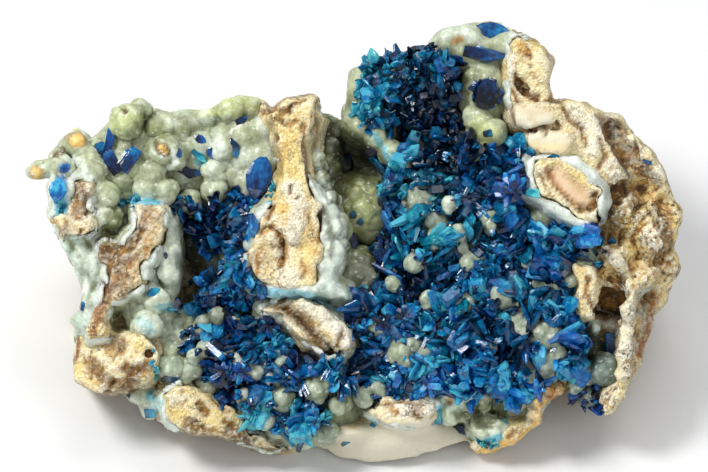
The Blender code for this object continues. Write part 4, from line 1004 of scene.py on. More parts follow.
def make_crust(name, sheets, balls, rinds, base, under, seed):
    """Model a hemimorphite crust of sheets, balls and rinds, with its colours."""
    reach = []
    frames = []
    for part, line, grow, drop in rinds:
        left, right, own_line = ROCK_SECTIONS[part]
        frames.append((part, (left, right, line or own_line), grow, drop))
        reach += [(u, v, max(left, right) - 1.0, 12, 12, 1.6) for u, v in line or own_line]
    lumps = [(u, v, w + BALL_LIFT, r, r, r * STEP_MM) for u, v, w, r in balls]
    form = Form(sheets + lumps + reach, CRUST_PITCH)
    form.add(sheets, 0.18)
    form.add(lumps, 0.06)
    for number, (_, section, grow, drop) in enumerate(frames):
        form.add_section(section, grow, drop, seed + 11 * number, 0.16, 0.22)
    for part, *_ in frames:
        left, right, line = ROCK_SECTIONS[part]
        form.add_section((left + 1.0, right + 1.0, line), -0.30, 0.0, section_seed(part), cut=True)
    form.trim(0.22)
    form.warp(0.09, 0.75, seed + 31)
    places, quads = without_slivers(*form.skin(), LEAST_SKIN / CRUST_PITCH ** 2)
    places = evened(places, quads, 1)
    normals = turned_normals(places, quads)
    bent = places + (0.3 * layered_noise(places, 1.6, seed + 21, 2))[:, None]
    large, large_after = cell_noise(bent, 0.95, seed + 3)
    small, _ = cell_noise(bent, 0.42, seed + 7)
    swell = 0.14 * (1.0 - ease(large, 0.1, 0.85)) - 0.05 * (1.0 - ease(large_after - large, 0.0, 0.14))
    swell *= SLAB_SWELL if name == "crust_slab" else 1.0
    u, v, _ = to_face(places)
    for reach, line in FLAT_MARKS:
        swell *= 1.0 - 0.8 * stroke_share(u, v, line, reach, 0.0)
    swell += 0.05 * (1.0 - ease(small, 0.1, 0.8)) * patches(places, 1.8, seed + 9, -0.2, 0.3)
    places = evened(places + normals * swell[:, None], quads, 1, 0.3)
    normals = turned_normals(places, quads)
    tint = np.tile(COLOURS[base], (len(places), 1))
    tint = mixed(tint, "rind", 0.5 * patches(places, 1.3, seed + 2, 0.0, 0.5))
    tint = mixed(tint, under, 0.6 * patches(places, 1.9, seed + 4, 0.0, 0.5))
    depth = 0.030 * layered_noise(places, 0.30, seed + 6, 2)
    u, v, w = to_face(places)
    rims = np.zeros(len(places))
    for _, (left, right, line), grow, _ in frames:
        rim = plan_distance(u, v, line) * STEP_MM
        rim = (1.0 - ease(rim, grow, grow + 0.4)) * ease(w, min(left, right) - 1.4, left - 0.4)
        tint = mixed(tint, "rind", 0.9 * rim)
        rims = np.maximum(rims, rim)
    tint, depth = laid_marks(CRUST_MARKS, places, normals, tint, depth)
    places = places - normals * depth[:, None]
    # Painted shade: the crust is darkened in its hollows, less so near the rims
    hollow = hollowness(places, turned_normals(places, quads), quads, 5) * (1.0 - 0.85 * rims)
    tint = mixed(tint, tint * HOLLOW_PAINTED_SHADE, 0.95 * ease(hollow, 0.002, 0.05))
    # Painted light: the crust's crests are paled with the rind colour
    tint = mixed(tint, "rind", 0.45 * ease(-hollow, 0.015, 0.06))
    marks = np.stack((ease(-hollow, 0.0, 0.06), ease(hollow, 0.0, 0.06), np.zeros(len(places))), axis=1)
    return skin_object(name, places, quads, tint, marks)


def make_pad(name, pads):
    """Model the rough ground that the blades of a druse stand on."""
    form = Form(pads, PAD_PITCH)
    form.add([(u, v, w - PAD_DROP, a, b, c) for u, v, w, a, b, c in pads], 0.25)
    form.add([(u, v, w + 0.6, 0.85 * r, 0.85 * r, 2.4) for u, v, w, r in PALE_SPOTS], 0.1, smooth_cut)
    form.trim(0.3)
    form.warp(HILL_HEIGHT, HILL_SIZE, HILL_SEED)
    form.warp(0.16, 0.7, 61)
    places, quads = form.skin()
    zero = np.zeros((len(places), 3))
    return skin_object(name, evened(places, quads, 1), quads, zero, zero)


# Veszelyite crystals: unit forms, with x and y across and z along

def ringed_form(text, sides):
    """Return the places and faces of a form of rings: height, width, thickness and shift."""
    rings = read_rows(text)
    places = [(x * wide + shift, y * thick, height)
              for height, wide, thick, shift in rings for x, y in sides]
    count = len(sides)
    faces = [tuple(reversed(range(count)))]
    for low in range(0, len(places) - count, count):
        for at in range(count):
            after = (at + 1) % count
            faces.append((low + at, low + after, low + count + after, low + count + at))
    faces.append(tuple(range(len(places) - count, len(places))))
    return np.array(places, dtype=float), faces


FLAT_SIDES = read_points("-.5,0 -.36,-.5 .36,-.5 .5,0 .36,.5 -.36,.5")
BLOCK_SIDES = read_points("-.5,-.34 -.36,-.5 .36,-.5 .5,-.34 .5,.34 .36,.5 -.36,.5 -.5,.34")
CRYSTAL_FORMS = {
    "blade": ringed_form("0 .7 .8 0; .66 1 1 0; 1 .42 .35 .06", FLAT_SIDES),
    "wedge": ringed_form("0 .8 .9 0; .78 1 1 0; 1 .86 .2 0", FLAT_SIDES),
    "slant": ringed_form("0 .8 .9 0; .6 1 1 0; 1 .3 .5 -.26", FLAT_SIDES),
    "block": ringed_form("0 .9 .9 0; .86 1 1 0; 1 .78 .7 0", BLOCK_SIDES),
    "lens": ringed_form("0 .14 .2 0; .22 .72 .7 0; .5 1 1 0; .78 .74 .7 0; 1 .12 .2 0", BLOCK_SIDES),
    "plate": ringed_form("0 .42 .8 0; .16 .84 1 0; .5 1 1 0; .84 .84 1 0; 1 .42 .8 0", FLAT_SIDES),
}


class Druse:
    """Crystals gathered into one mesh, with their colours."""

    def __init__(self):
        self.places = []
        self.faces = []
        self.tones = []
        self.grain = []
        self.count = 0

    def grow(self, kind, base, direction, side, sizes, tone, light):
        """Add a crystal that grows from base along direction: its width, thickness and length in mm."""
        places, faces = CRYSTAL_FORMS[kind]
        direction = direction.normalized()
        across = (side - direction * side.dot(direction)).normalized()
        axes = np.array([axis * (size * MM) for axis, size in zip(
            (across, direction.cross(across), direction), sizes)])
        self.places.append(places @ axes + np.array(base))
        self.faces.extend([tuple(self.count + at for at in face) for face in faces])
        self.count += len(places)
        self.tones.append([(tone, light, along) for along in places[:, 2]])
        self.grain.append(places * sizes + np.array((self.count * GRAIN_JUMP, 0.0, 0.0)))

    def finish(self, name):
        """Make the object of the crystals."""
        mesh = bpy.data.meshes.new(name)
        mesh.from_pydata(np.concatenate(self.places).tolist(), [], self.faces)
        keep_colour(mesh, "tone", np.concatenate(self.tones))
        layer = mesh.attributes.new("grain", "FLOAT_VECTOR", "POINT")
        layer.data.foreach_set("vector", np.concatenate(self.grain).astype(np.float32).ravel())
        mesh.update()
        mesh.materials.append(crystal_look)
        return linked(name, mesh)


def zone_at(u, v):
    """Return how cobalt and how light the blades are at a place."""
    total, tone, light = BASE_SHARE, BASE_SHARE * BASE_TONE, BASE_SHARE * BASE_LIGHT
    for zone_u, zone_v, reach, zone_tone, zone_light in TONE_ZONES:
        share = math.exp(-((u - zone_u) ** 2 + (v - zone_v) ** 2) / (reach * reach))
        total += share
        tone += share * zone_tone
        light += share * zone_light
    return tone / total, light / total


def any_direction(dice):
    """Return a random direction."""
    while True:
        aim = Vector([dice.uniform(-1.0, 1.0) for _ in range(3)])
        if 0.05 < aim.length < 1.0:
            return aim.normalized()


def spray(druse, dice, place, normal, number, size, tone, light):
    """Grow a fan of blades that open like a book about one axis."""
    axis = any_direction(dice)
    axis = (axis - normal * (axis.dot(normal) * 0.7)).normalized()
    for _ in range(number):
        turn = Matrix.Rotation(dice.gauss(0.0, SPRAY_OPENING), 3, axis)
        direction = (turn @ normal + any_direction(dice) * 0.3).normalized()
        if direction.dot(normal) < 0.1:
            direction = (direction + normal * 0.5).normalized()
        kind = dice.choice(SPRAY_KINDS)
        length = size * dice.uniform(*BLADE_LENGTH)
        width = size * dice.uniform(*BLADE_WIDTH)
        thickness = size * dice.uniform(*BLADE_THICKNESS)
        if kind == "block":
            thickness = width * dice.uniform(*BLOCK_THICKNESS)
            length = size * dice.uniform(*BLOCK_LENGTH)
        base = place + axis * (dice.uniform(-0.3, 0.3) * size * MM) - direction * (0.3 * length * MM)
        one_tone = tone + dice.gauss(0.0, BLADE_TONE_SPREAD)
        one_light = light + dice.gauss(0.0, BLADE_LIGHT_SPREAD)
        druse.grow(kind, base, direction, axis + any_direction(dice) * 0.25,
                   (width, thickness, length), one_tone, one_light)


def cover(druse, tree, pads, spacing, size, seed, number=(4, 7), keep=1.0):
    """Cover the pads with sprays at about the spacing given in steps."""
    dice = random.Random(seed)
    low_u, low_v = (min(pad[at] - pad[at + 3] for pad in pads) for at in (0, 1))
    high_u, high_v = (max(pad[at] + pad[at + 3] for pad in pads) for at in (0, 1))
    spots = []
    for row in range(int((high_v - low_v) / spacing) + 1):
        for column in range(int((high_u - low_u) / spacing) + 1):
            u = low_u + (column + dice.uniform(0.0, 1.0)) * spacing
            v = low_v + (row + dice.uniform(0.0, 1.0)) * spacing
            if dice.random() < keep:
                spots.append((u, v))
    u, v = np.array(spots).T
    grown = np.zeros(len(u), dtype=bool)
    for pad_u, pad_v, _, half_u, half_v, _ in pads:
        grown |= ((u - pad_u) / half_u) ** 2 + ((v - pad_v) / half_v) ** 2 < 1.0
    for ball_u, ball_v, _, radius in PALE_SPOTS:
        grown &= (u - ball_u) ** 2 + (v - ball_v) ** 2 > (BALL_SHOWN * radius) ** 2
    for line, reach in BARE_OUTLINES:
        grown &= plan_distance(u, v, line) > reach
    for u, v in zip(u[grown].tolist(), v[grown].tolist()):
        place, normal = landing(tree, u, v)
        if place is None:
            continue
        tone, light = zone_at(u, v)
        # Painted shade: blades are darker where the pad's hills dip
        spot = np.array([to_frame(u, v, (place - FACE_CENTRE).dot(AXIS_OUT) / MM)])
        light -= HILL_SHADE * layered_noise(spot, HILL_SIZE, HILL_SEED)[0]
        tone += dice.gauss(0.0, SPRAY_SPREAD)
        light += dice.gauss(0.0, SPRAY_SPREAD)
        blades = dice.randint(*number)
        spray(druse, dice, place, normal, blades, size * dice.uniform(*SPRAY_SIZE), tone, light)


def seated(druse, tree, u, v, long_steps, wide_steps, turn, kind, tone, light, thick=0.4, tilt=0.3,
           lift=0.0, aim=AXIS_OUT):
    """Lay a crystal on what is under u, v, its length turned from upright."""
    place, normal = landing(tree, u, v)
    if place is None:
        return
    turned = AXIS_UP.copy()
    turned.rotate(Matrix.Rotation(math.radians(-turn), 3, AXIS_OUT))
    facing = (normal * tilt + aim).normalized()
    turned = (turned - facing * turned.dot(facing)).normalized()
    length, width = long_steps * STEP_MM, wide_steps * STEP_MM
    base = place - turned * (0.5 * length * MM) + facing * (lift * MM)
    druse.grow(kind, base, turned, turned.cross(facing), (width, width * thick, length), tone, light)


def fan(druse, tree, u, v, radius, blades, tone, light, seed):
    """Lay blades round a middle, like the leaves of a rosette."""
    dice = random.Random(seed)
    for number in range(blades):
        turn = 360.0 * number / blades + dice.uniform(-10.0, 10.0)
        length = radius * dice.uniform(0.8, 1.1)
        at_u = u + 0.5 * length * math.sin(math.radians(turn))
        at_v = v - 0.5 * length * math.cos(math.radians(turn))
        aim = (AXIS_OUT + any_direction(dice) * 0.5).normalized()
        seated(druse, tree, at_u, at_v, length, radius * dice.uniform(0.35, 0.6), turn,
               dice.choice(("wedge", "blade", "slant")), tone + dice.gauss(0.0, 0.12),
               light + dice.gauss(0.0, 0.16), 0.35, 0.2, 0.12 + dice.uniform(0.0, 0.1), aim)


# Materials

class Shader:
    """A Principled material and the nodes that feed it. Scales count the cells in a metre."""

    def __init__(self, name):
        self.material = bpy.data.materials.new(name)
        self.material.use_nodes = True
        self.tree = self.material.node_tree

    def join(self, source, target):
        """Link an output to an input, or set a plain value."""
        if isinstance(source, bpy.types.NodeSocket):
            self.tree.links.new(source, target)
        else:
            target.default_value = source

    def finish(self, **values):
        """Set or link the shader's own sockets, with _ for each space, and return the material."""
        for label, value in values.items():
            self.join(value, self.tree.nodes["Principled BSDF"].inputs[label.replace("_", " ")])
        return self.material

    def node(self, kind, inputs=(), output=0, **settings):
        """Add a node with its settings and inputs, and return one output."""
        node = self.tree.nodes.new("ShaderNode" + kind)
        for label, value in settings.items():
            setattr(node, label, value)
        for label, value in dict(inputs).items():
            self.join(value, node.inputs[label])
        return node.outputs[output] if output is not None else node

    def attribute(self, label, output="Color"):
        """Return a colour or vector attribute."""
        return self.node("Attribute", (), output, attribute_name=label)

    def parts(self, colour):
        """Return the red, green and blue of a colour."""
        return self.node("SeparateColor", {0: colour}, None).outputs[:3]

    def noise(self, scale, detail=3.0, vector=None, roughness=0.55):
        """Return the value of noise over the object's own places."""
        inputs = {"Scale": scale, "Detail": detail, "Roughness": roughness}
        return self.node("TexNoise", {**inputs, "Vector": vector or self.spot()}, "Fac")

    def grains(self, scale, output="Distance"):
        """Return the distance to the nearest grain, or its own colour."""
        return self.node("TexVoronoi", {"Scale": scale, "Vector": self.spot()}, output)

    def spot(self):
        """Return the object's own coordinates."""
        return self.node("TexCoord", (), "Object")

    def math(self, operation, one, two=0.0, clamp=False):
        """Return a sum, product or other result of two values."""
        return self.node("Math", {0: one, 1: two}, operation=operation, use_clamp=clamp)

    def times(self, one, two):
        """Return the product of two values."""
        return self.math("MULTIPLY", one, two)

    def plus(self, one, two, clamp=False):
        """Return the sum of two values."""
        return self.math("ADD", one, two, clamp)

    def spread(self, *values):
        """Map a value from the range of the next two to that of the last two, or to 0 to 1."""
        return self.node("MapRange", enumerate(values), interpolation_type="SMOOTHSTEP")

    def mix(self, share, one, two, blend="MIX"):
        """Mix two colours."""
        return self.node("Mix", {0: share, 6: one, 7: two}, 2, data_type="RGBA", blend_type=blend)

    def ramp(self, share, text, turn=linear):
        """Return a colour from a ramp: places, and colours that are turned into linear ones."""
        node = self.node("ValToRGB", {0: share}, None)
        entries = node.color_ramp.elements
        for number, (place, *colour) in enumerate(read_rows(text)):
            entry = entries[number] if number < len(entries) else entries.new(1.0)
            entry.position = place
            entry.color = (*turn(*colour), 1.0)
        return node.outputs[0]

    def bump(self, height, distance, strength=1.0):
        """Return the normal of a bump, with its distance in mm."""
        return self.node("Bump", {"Distance": distance * MM, "Strength": strength, "Height": height})


def rock_material():
    """Return the granular rock's material."""
    made = Shader("rock_look")
    tint = made.attribute("tint")
    speck, smooth_share, _ = made.parts(made.attribute("marks"))
    fine = made.noise(9500.0, 4.0)
    grain = made.grains(7000.0)
    rough_share = made.spread(smooth_share, 0.2, 0.9, 1.0, 0.12)
    shade = made.spread(fine, 0.34, 0.66, 0.78, 1.14)
    colour = made.mix(rough_share, tint, made.mix(1.0, tint, shade, "MULTIPLY"))
    white = made.times(made.spread(made.noise(4800.0, 2.0), 0.56, 0.66), rough_share)
    ridge = made.math("ABSOLUTE", made.math("SUBTRACT", made.noise(2300.0, 5.0, None, 0.6), 0.5))
    thread = made.times(made.spread(ridge, 0.0, 0.036, 1.0, 0.0), speck)
    thread = made.times(thread, made.spread(made.noise(700.0, 2.0), 0.42, 0.54))
    dark = made.times(made.spread(made.noise(3400.0, 4.0), 0.58, 0.68), speck)
    rusty = made.times(made.spread(made.noise(1500.0, 3.0), 0.57, 0.70), speck)
    for share, strength, name, light in (
            (white, 0.35, "cream", 1.0), (thread, 0.8, "brown", 1.0),
            (dark, 0.85, "umber", 1.4), (rusty, 0.55, "ochre", 1.0)):
        colour = made.mix(made.times(share, strength), colour, (*COLOURS[name] * light, 1.0))
    height = made.plus(fine, made.times(grain, -0.8))
    height = made.math("SUBTRACT", height, made.times(made.plus(dark, thread), 0.6))
    return made.finish(
        Base_Color=colour, Roughness=made.spread(grain, 0.1, 0.6, 0.32, 0.85), IOR=1.5,
        Normal=made.bump(made.times(height, rough_share), 0.075), Subsurface_Weight=0.05,
        Subsurface_Radius=(0.5, 0.4, 0.25), Subsurface_Scale=0.2 * MM)


def crust_material():
    """Return the waxy, frosted hemimorphite's material."""
    made = Shader("crust_look")
    fine = made.noise(7000.0, 5.0, None, 0.7)
    cloud = made.noise(1700.0, 4.0, None, 0.6)
    glance = made.parts(made.grains(8500.0, "Color"))[0]
    colour = made.mix(1.0, made.attribute("tint"), made.spread(cloud, 0.3, 0.7, 0.72, 1.16), "MULTIPLY")
    # The glossier grains are painted brighter, and the glossiest get whitish specks: partly frosting
    # and partly painted sparkle
    colour = made.mix(1.0, colour, made.spread(glance, 0.0, 1.0, 0.88, 1.10), "MULTIPLY")
    frosted = made.spread(made.noise(2400.0, 2.0), 0.46, 0.60)
    frost_and_sparkle = made.times(made.spread(glance, 0.80, 0.92), frosted)
    colour = made.mix(made.times(frost_and_sparkle, 0.5), colour, (0.82, 0.86, 0.78, 1.0))
    height = made.plus(made.times(fine, 0.5), made.times(glance, 0.55))
    return made.finish(
        Base_Color=colour, Roughness=made.spread(glance, 0.0, 1.0, 0.62, 0.22), IOR=1.62,
        Normal=made.bump(height, 0.065), Subsurface_Weight=0.55,
        Subsurface_Radius=(0.8, 1.0, 0.6), Subsurface_Scale=0.6 * MM)


def crystal_material():
    """Return the glassy blue veszelyite's material."""
    made = Shader("crystal_look")
    tone, light, along = made.parts(made.attribute("tone"))
    grain = made.attribute("grain", "Vector")
    streaks, cloud = (
        made.noise(1.0, 3.0, made.node("Mapping", {"Vector": grain, "Scale": scale}))
        for scale in ((26.0, 26.0, 2.2), (4.5, 4.5, 3.0)))
    # Painted shade and light: each blade is darker at its foot and lighter towards its tip
    value = made.plus(light, made.spread(along, 0.0, 1.0, -0.26, 0.12))
    value = made.plus(value, made.spread(cloud, 0.25, 0.75, -0.20, 0.20))
    value = made.plus(value, made.spread(streaks, 0.3, 0.7, -0.10, 0.10))
    cobalt = made.ramp(value, "0 1 5 22; .3 2 34 94; .6 6 84 172; .85 14 120 204; 1 62 176 226")
    teal = made.ramp(value, "0 1 11 19; .3 3 58 78; .6 8 122 142; .85 24 164 178; 1 100 208 208")
    shift = made.plus(tone, made.spread(cloud, 0.3, 0.7, 0.10, -0.10), True)
    return made.finish(
        Base_Color=made.mix(shift, teal, cobalt), Normal=made.bump(streaks, 0.012, 0.6), IOR=1.66,
        Roughness=made.spread(streaks, 0.3, 0.7, 0.06, 0.26), Transmission_Weight=0.3,
        Specular_IOR_Level=0.34)


def pad_material():
    """Return the blue grains of the ground between the blades, darkened as painted shade of the gaps.
    """
    made = Shader("ground_gap_shade_look")
    grain = made.grains(4200.0)
    value = made.plus(made.times(grain, 0.5), made.times(made.noise(1600.0, 3.0), 0.5))
    return made.finish(
        Base_Color=made.ramp(value, ".25 3 22 48; .5 6 60 96; .75 18 104 140"),
        Roughness=made.spread(grain, 0.1, 0.6, 0.15, 0.45), Normal=made.bump(grain, 0.08), IOR=1.62)


def floor_material():
    """Return the plain pale floor's material."""
    made = Shader("floor_look")
    roughness = made.spread(made.noise(900.0), 0.3, 0.7, 0.6, 0.8)
    tones = made.ramp(made.noise(60.0, 3.0), ".3 .7 .71 .72; .7 .74 .745 .75", lambda *shares: shares)
    return made.finish(Base_Color=tones, Roughness=roughness)


# Building the pieces

# The crusts: name, sheets, balls, rinds (the section that they frame, their
# outline if it isn't the section's, how far they stand out from it and how
# much lower they lie), the main and the second colour, and a seed
CRUSTS = [
    ("crust_left", LEFT_SHEETS, LEFT_BALLS, [
        ("wall", WALL_RIND, 0.0, 0.26), ("arm", None, 0.18, 0.28), ("branch", None, 0.18, 0.30),
        ("ribbon", None, 0.14, 0.28), ("block", None, 0.08, 0.35), ("chunk", None, 0.14, 0.34),
    ], "sage", "lichen", 101),
    # The cavity's crust is olive, partly its own colour and partly painted shade of the cavity
    ("crust_cavity", CAVITY_SHEETS, CAVITY_BALLS, [], "olive", "sage", 202),
    ("crust_slab", SLAB_SHEETS, SLAB_BALLS, [("edge", None, 0.08, 0.30)], "sage", "lichen", 303),
    ("crust_lower", LOWER_SHEETS, LOWER_BALLS, [("lump", None, 0.10, 0.25)], "cloud", "cream", 404),
    # The hollow's crust is dark green, partly its own colour and partly painted shade of the pocket
    ("crust_hollow", RIGHT_SHEETS, RIGHT_BALLS, [], "murk", "sage", 505),
    ("crust_ring", [], [], [("ring", RING_RIND, -0.05, 0.20)], "rind", "mint", 707),
    ("crust_field", [(u, v, w - FIELD_CRUST_DEPTH, a, b, c) for u, v, w, a, b, c in FIELD_PAD],
     FIELD_BALLS + FIELD_PEARLS, [], "pearl", "lichen", 606),
    ("crust_lower_left", [], LOWER_LEFT_PEARLS, [], "pearl", "lichen", 808),
]
# The druses: name, name of the ground, pads, spacing in steps, size in mm, seed
DRUSES = [
    ("veszelyite_field", "druse_field_ground", FIELD_PAD, 15.0, 1.38, 901),
    ("veszelyite_upper", "druse_upper_ground", UPPER_PAD, 13.5, 1.05, 902),
    ("veszelyite_lower_left", "druse_lower_left_ground", LOWER_LEFT_PAD, 15.0, 1.15, 903),
    ("veszelyite_hollow", "druse_hollow_ground", HOLLOW_PAD, 14.0, 1.10, 904),
]
# Where no blades grow: outlines, and how near to them in steps
HOLLOW_MOUTH = read_points("576,328 604,326 604,352 582,354")
BARE_SECTIONS = ("wall", "chunk", "block", "lump", "plate_lower", "plateau", "porous")
BARE_OUTLINES = [(RING_RIND, 1.0), (HOLLOW_MOUTH, 1.0)]
BARE_OUTLINES += [(ROCK_SECTIONS[part][2], 3.0) for part in BARE_SECTIONS]
PALE_SPOTS = FIELD_BALLS + FIELD_PEARLS + LOWER_LEFT_PEARLS

rock = make_rock()
crusts = [make_crust(*entry) for entry in CRUSTS]
grounds = [make_pad(ground_name, pads) for _, ground_name, pads, *_ in DRUSES]
for made_pieces, look in (
        ([rock], rock_material()), (crusts, crust_material()), (grounds, pad_material())):
    for piece in made_pieces:
        piece.data.materials.append(look)
bare_tree = tree_of([*crusts, rock])
ground_tree = tree_of([*grounds, *crusts, rock])

crystal_look = crystal_material()
druses = []
for druse_name, _, pads, spacing, size, seed in DRUSES:
    druse = Druse()
    cover(druse, ground_tree, pads, spacing, size, seed)
    cover(druse, ground_tree, pads, spacing * 0.62, size * 0.5, seed + 50, (3, 6), 0.55)
    druses.append(druse.finish(druse_name))
# Small crystals that glitter between the blades
glitter_tree = tree_of([*druses, *grounds, *crusts, rock])
glitter = Druse()
for _, _, pads, _, _, seed in DRUSES:
    cover(glitter, glitter_tree, pads, 8.5, 0.34, seed + 80, (2, 3), 0.16)
    cover(glitter, ground_tree, pads, 8.0, 0.42, seed + 90, (2, 4), 0.45)
druses.append(glitter.finish("veszelyite_glitter"))

# Crystals laid on the crusts: u, v, length and width in steps, turn from
# upright, form, how cobalt, how light, then if needed how thick, how much they
# follow the ground, and their lift in mm
SEATED = read_rows("""
259 177 46 27 14 lens .85 .55 .5 0 .32; 484 55 42 15 103 slant .8 .4 .7 .1 .2;
492 31 38 17 98 lens .7 .6 .6 .1 .2; 486 94 30 27 20 plate .75 .12 .4 .1 .1;
58 190 24 19 8 lens .8 .9 .4 .1 .1; 65 168 12 9 60 lens .85 .6; 110 141 28 9 12 block .9 .55 .6 .1 .2;
98 149 18 11 40 blade .5 .5 .5 .1 .15; 112 162 26 13 -30 block .8 .35; 130 160 27 13 32 block .7 .5;
345 166 26 17 15 lens .75 0 .6; 372 150 20 13 40 lens .7 0 .6; 350 243 22 19 5 plate .7 .18;
153 292 15 9 68 lens .35 .65; 175 303 17 14 -40 slant .6 .4; 168 309 18 4 95 blade .2 .7;
166 255 8 5 5 lens .3 .3; 83 305 11 5 15 blade .7 .6; 130 396 15 6 -45 blade .2 .5;
150 413 11 10 80 block .5 .7; 242 121 13 8 70 slant .7 .3; 200 139 14 9 120 lens .85 .5;
211 152 13 9 160 lens .85 .55; 234 148 21 11 165 lens .4 .5; 199 156 18 7 130 blade .1 .8;
178 152 12 8 150 blade .6 .5; 190 172 24 13 110 slant .7 .25; 212 232 30 9 130 block .6 .15;
381 202 9 9 0 plate .3 .2; 353 215 8 8 0 plate .2 .35; 360 222 8 7 30 plate .2 .3;
362 289 14 9 70 lens .2 .95; 489 133 12 8 80 blade .2 .5; 554 157 13 7 70 blade .2 .6;
533 193 14 9 100 block .1 .95; 648 161 11 7 110 blade .7 .5; 611 344 22 12 0 block .75 .6;
463 430 24 9 105 block .8 .3; 347 442 13 5 55 blade .2 .65; 374 425 12 7 50 blade .3 .7;
438 416 17 8 0 block .2 .9; 319 304 24 4 125 blade .3 .5; 288 351 38 5 50 blade .2 .6;
171 378 19 10 80 lens .25 .35; 215 336 28 12 110 lens .75 .5; 235 346 24 10 140 blade .8 .45;
288 436 24 7 150 blade .3 .6; 302 440 26 7 20 blade .3 .6; 430 199 14 5 75 blade .1 .9;
482 210 24 9 150 block .8 .6; 492 243 17 9 80 block .7 .6
""")
# Crystals that throw the key light back: u, v, length, width, turn
GLINTS = read_rows("""
480 212 20 9 150; 492 243 18 10 80; 512 235 10 6 20; 455 278 14 6 120; 443 155 18 8 115;
421 340 16 14 20; 451 375 12 7 140; 228 377 17 12 30; 204 380 8 6 60; 303 389 22 9 -25; 251 400 8 7 0;
326 374 14 5 15; 340 382 9 4 100; 126 158 22 10 32; 476 50 16 9 110; 518 152 16 5 -15; 464 372 10 7 20;
578 352 12 8 0; 528 372 10 6 70; 440 392 12 7 70; 506 268 12 6 45; 546 246 12 6 130; 562 268 10 6 20;
398 300 12 6 60; 553 349 8 5 30; 498 340 12 6 60; 514 374 9 5 100; 422 383 8 5 20; 408 320 9 4 120;
557 317 10 3 50; 269 403 9 4 45; 316 421 10 6 30; 492 230 12 6 160; 404 64 8 4 80; 410 99 12 6 60;
498 97 10 4 140; 190 283 8 5 60; 485 344 10 5 100
""")
# Round fans of blades: u, v, radius in steps, how many, how cobalt, how light
FANS = read_rows("""
486 93 17 24 .75 .16; 487 94 9 9 .7 .3; 510 190 18 15 .95 .5; 268 325 12 11 .9 .4; 222 374 14 9 .95 .3;
240 372 13 9 .9 .4; 404 318 13 9 .8 .4; 428 385 14 11 .85 .75; 384 322 12 9 .85 .35; 462 195 13 9 .6 .45
""")
# Small blades on the crusts: u, v, half sizes, spacing in steps, size in mm, seed
TUFTS = read_rows("""
586 399 19 9 8 .65 951; 155 366 4 20 6 .32 952; 597 263 4 17 6 .4 953; 182 208 14 12 9 .7 957;
131 203 14 4 6 .36 958; 219 200 13 10 9 .75 959; 273 191 7 9 6 .4 960; 60 204 5 10 6 .35 961;
604 245 9 7 6 .4 962; 280 346 8 8 6 .4 954; 488 444 12 5 6 .4 955; 252 318 9 6 7 .45 956
""")
KEY_DIRECTION = (-0.80, 0.80, 0.95)
GLINT_FACING = (face_vector(*KEY_DIRECTION).normalized() + AXIS_OUT).normalized()
single = Druse()
for entry in SEATED:
    seated(single, bare_tree, *entry)
all_tree = tree_of([*druses, *grounds, *crusts, rock])
for number, entry in enumerate(FANS):
    fan(single, all_tree, *entry, 300 + number)
for u, v, half_u, half_v, spacing, size, seed in TUFTS:
    cover(single, bare_tree, [(u, v, 0.0, half_u, half_v, 1.0)], spacing, size, seed, (2, 4))
# Each glint is a few wedges side by side: their places and width as shares
GLINT_SIDES = (-0.34, 0.0, 0.34)
GLINT_WIDTH = 0.42
dice = random.Random(77)
for u, v, length, width, turn in GLINTS:
    for share in GLINT_SIDES:
        at_u = u + share * width * math.cos(math.radians(turn))
        at_v = v + share * width * math.sin(math.radians(turn))
        aim = (GLINT_FACING + any_direction(dice) * 0.11).normalized()
        long_steps = length * dice.uniform(0.55, 1.1)
        one_turn = turn + dice.uniform(-14.0, 14.0)
        seated(single, all_tree, at_u, at_v, long_steps, width * GLINT_WIDTH, one_turn,
               "wedge", 0.55, 0.6, 0.5, 0.0, 0.0, aim)
druses.append(single.finish("veszelyite_single"))

# The nodes that the pieces stand for
STANDS_FOR = {
    "rock_matrix": ["matrix_rock"],
    "crust_left": ["hemimorphite_left_crust"],
    "crust_cavity": ["hemimorphite_cavity_lining"],
    "crust_slab": ["hemimorphite_upper_slab"],
    "crust_lower": ["hemimorphite_lower_edge"],
    "crust_hollow": ["hemimorphite_right_hollow"],
    "crust_field": ["hemimorphite_field_crust"],
    "veszelyite_field": ["veszelyite_main_field"],
    "veszelyite_upper": ["veszelyite_upper_druse"],
    "veszelyite_lower_left": ["veszelyite_lower_left_druse"],
    "veszelyite_hollow": ["veszelyite_hollow_druse"],
    "veszelyite_single": [f"veszelyite_{part}" for part in (
        "lens_crystal", "bar_crystal", "tip_crystal", "disc_crystal", "far_left_crystal",
        "prism_crystal", "cavity_crystal_upper", "cavity_crystal_lower", "teal_eye_crystal",
        "right_hollow_crystal")],
}
for slot_name, made_pieces in (
        ("rock", [rock]), ("hemimorphite", crusts), ("veszelyite", grounds + druses)):
    for piece in made_pieces:
        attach(piece, "root")
        if piece.name in STANDS_FOR:
            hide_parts(*STANDS_FOR[piece.name])

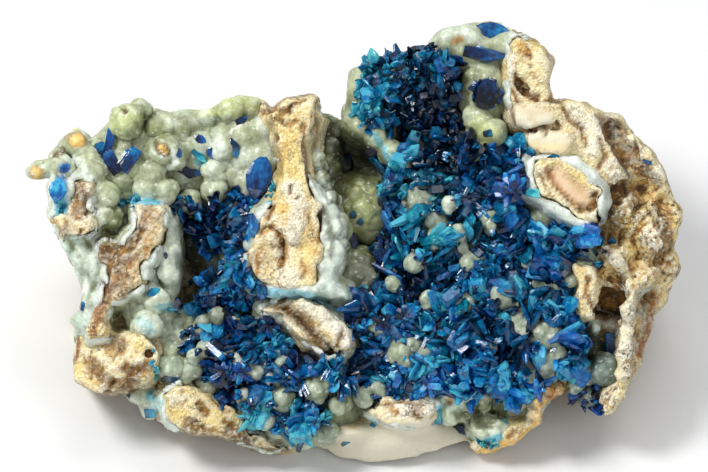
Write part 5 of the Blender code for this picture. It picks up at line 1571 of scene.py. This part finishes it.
# The floor, the lights and the camera
FLOOR_SIDE = 0.9
bm = bmesh.new()
bmesh.ops.create_grid(bm, x_segments=8, y_segments=8, size=FLOOR_SIDE / 2.0)
floor = linked("floor", bpy.data.meshes.new("floor"))
bm.to_mesh(floor.data)
bm.free()
floor.data.materials.append(floor_material())
floor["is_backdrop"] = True

# Soft lights: name, direction in the face's frame, distance, width and height
# in metres, power in watts and colour
WHITE = (1.0, 1.0, 1.0)
for name, direction, distance, wide, high, power, colour in (
        ("key_light", KEY_DIRECTION, 0.16, 0.045, 0.045, 0.23, (1.0, 0.99, 0.96)),
        ("top_light", (0.25, 1.0, 0.55), 0.18, 0.12, 0.06, 0.11, WHITE),
        ("fill_light", (0.9, -0.1, 1.0), 0.20, 0.12, 0.10, 0.07, WHITE),
        ("front_light", (-0.3, -0.6, 1.0), 0.22, 0.10, 0.05, 0.045, WHITE)):
    light = bpy.data.lights.new(name, "AREA")
    light.shape = "RECTANGLE"
    light.size, light.size_y = wide, high
    light.energy = power
    light.color = colour
    aim = face_vector(*direction).normalized()
    lamp = linked(name, light)
    lamp.location = FACE_CENTRE + aim * distance
    lamp.rotation_euler = aim.to_track_quat("Z", "Y").to_euler()

world = bpy.data.worlds.new("studio")
bpy.context.scene.world = world
world.use_nodes = True
world.node_tree.nodes["Background"].inputs["Color"].default_value = (0.95, 0.97, 1.0, 1.0)
world.node_tree.nodes["Background"].inputs["Strength"].default_value = 0.46

SENSOR = 36.0
camera_data = bpy.data.cameras.new("camera")
camera_data.sensor_width = SENSOR
camera_data.lens = SENSOR * VIEW_DISTANCE / (2.0 * FACE_MIDDLE_U * FACE_STEP)
camera_data.clip_start = 0.01
camera_data.clip_end = 10.0
camera = linked("camera", camera_data)
face_frame = Matrix((AXIS_RIGHT, AXIS_UP, AXIS_OUT)).transposed().to_4x4()
camera.matrix_world = Matrix.Translation(FACE_CENTRE + AXIS_OUT * VIEW_DISTANCE) @ face_frame
bpy.context.scene.camera = camera
bpy.context.scene.view_settings.view_transform = "Standard"

boxes = [[list(corner) for corner in box] for box in (CAD_BOX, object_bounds())]
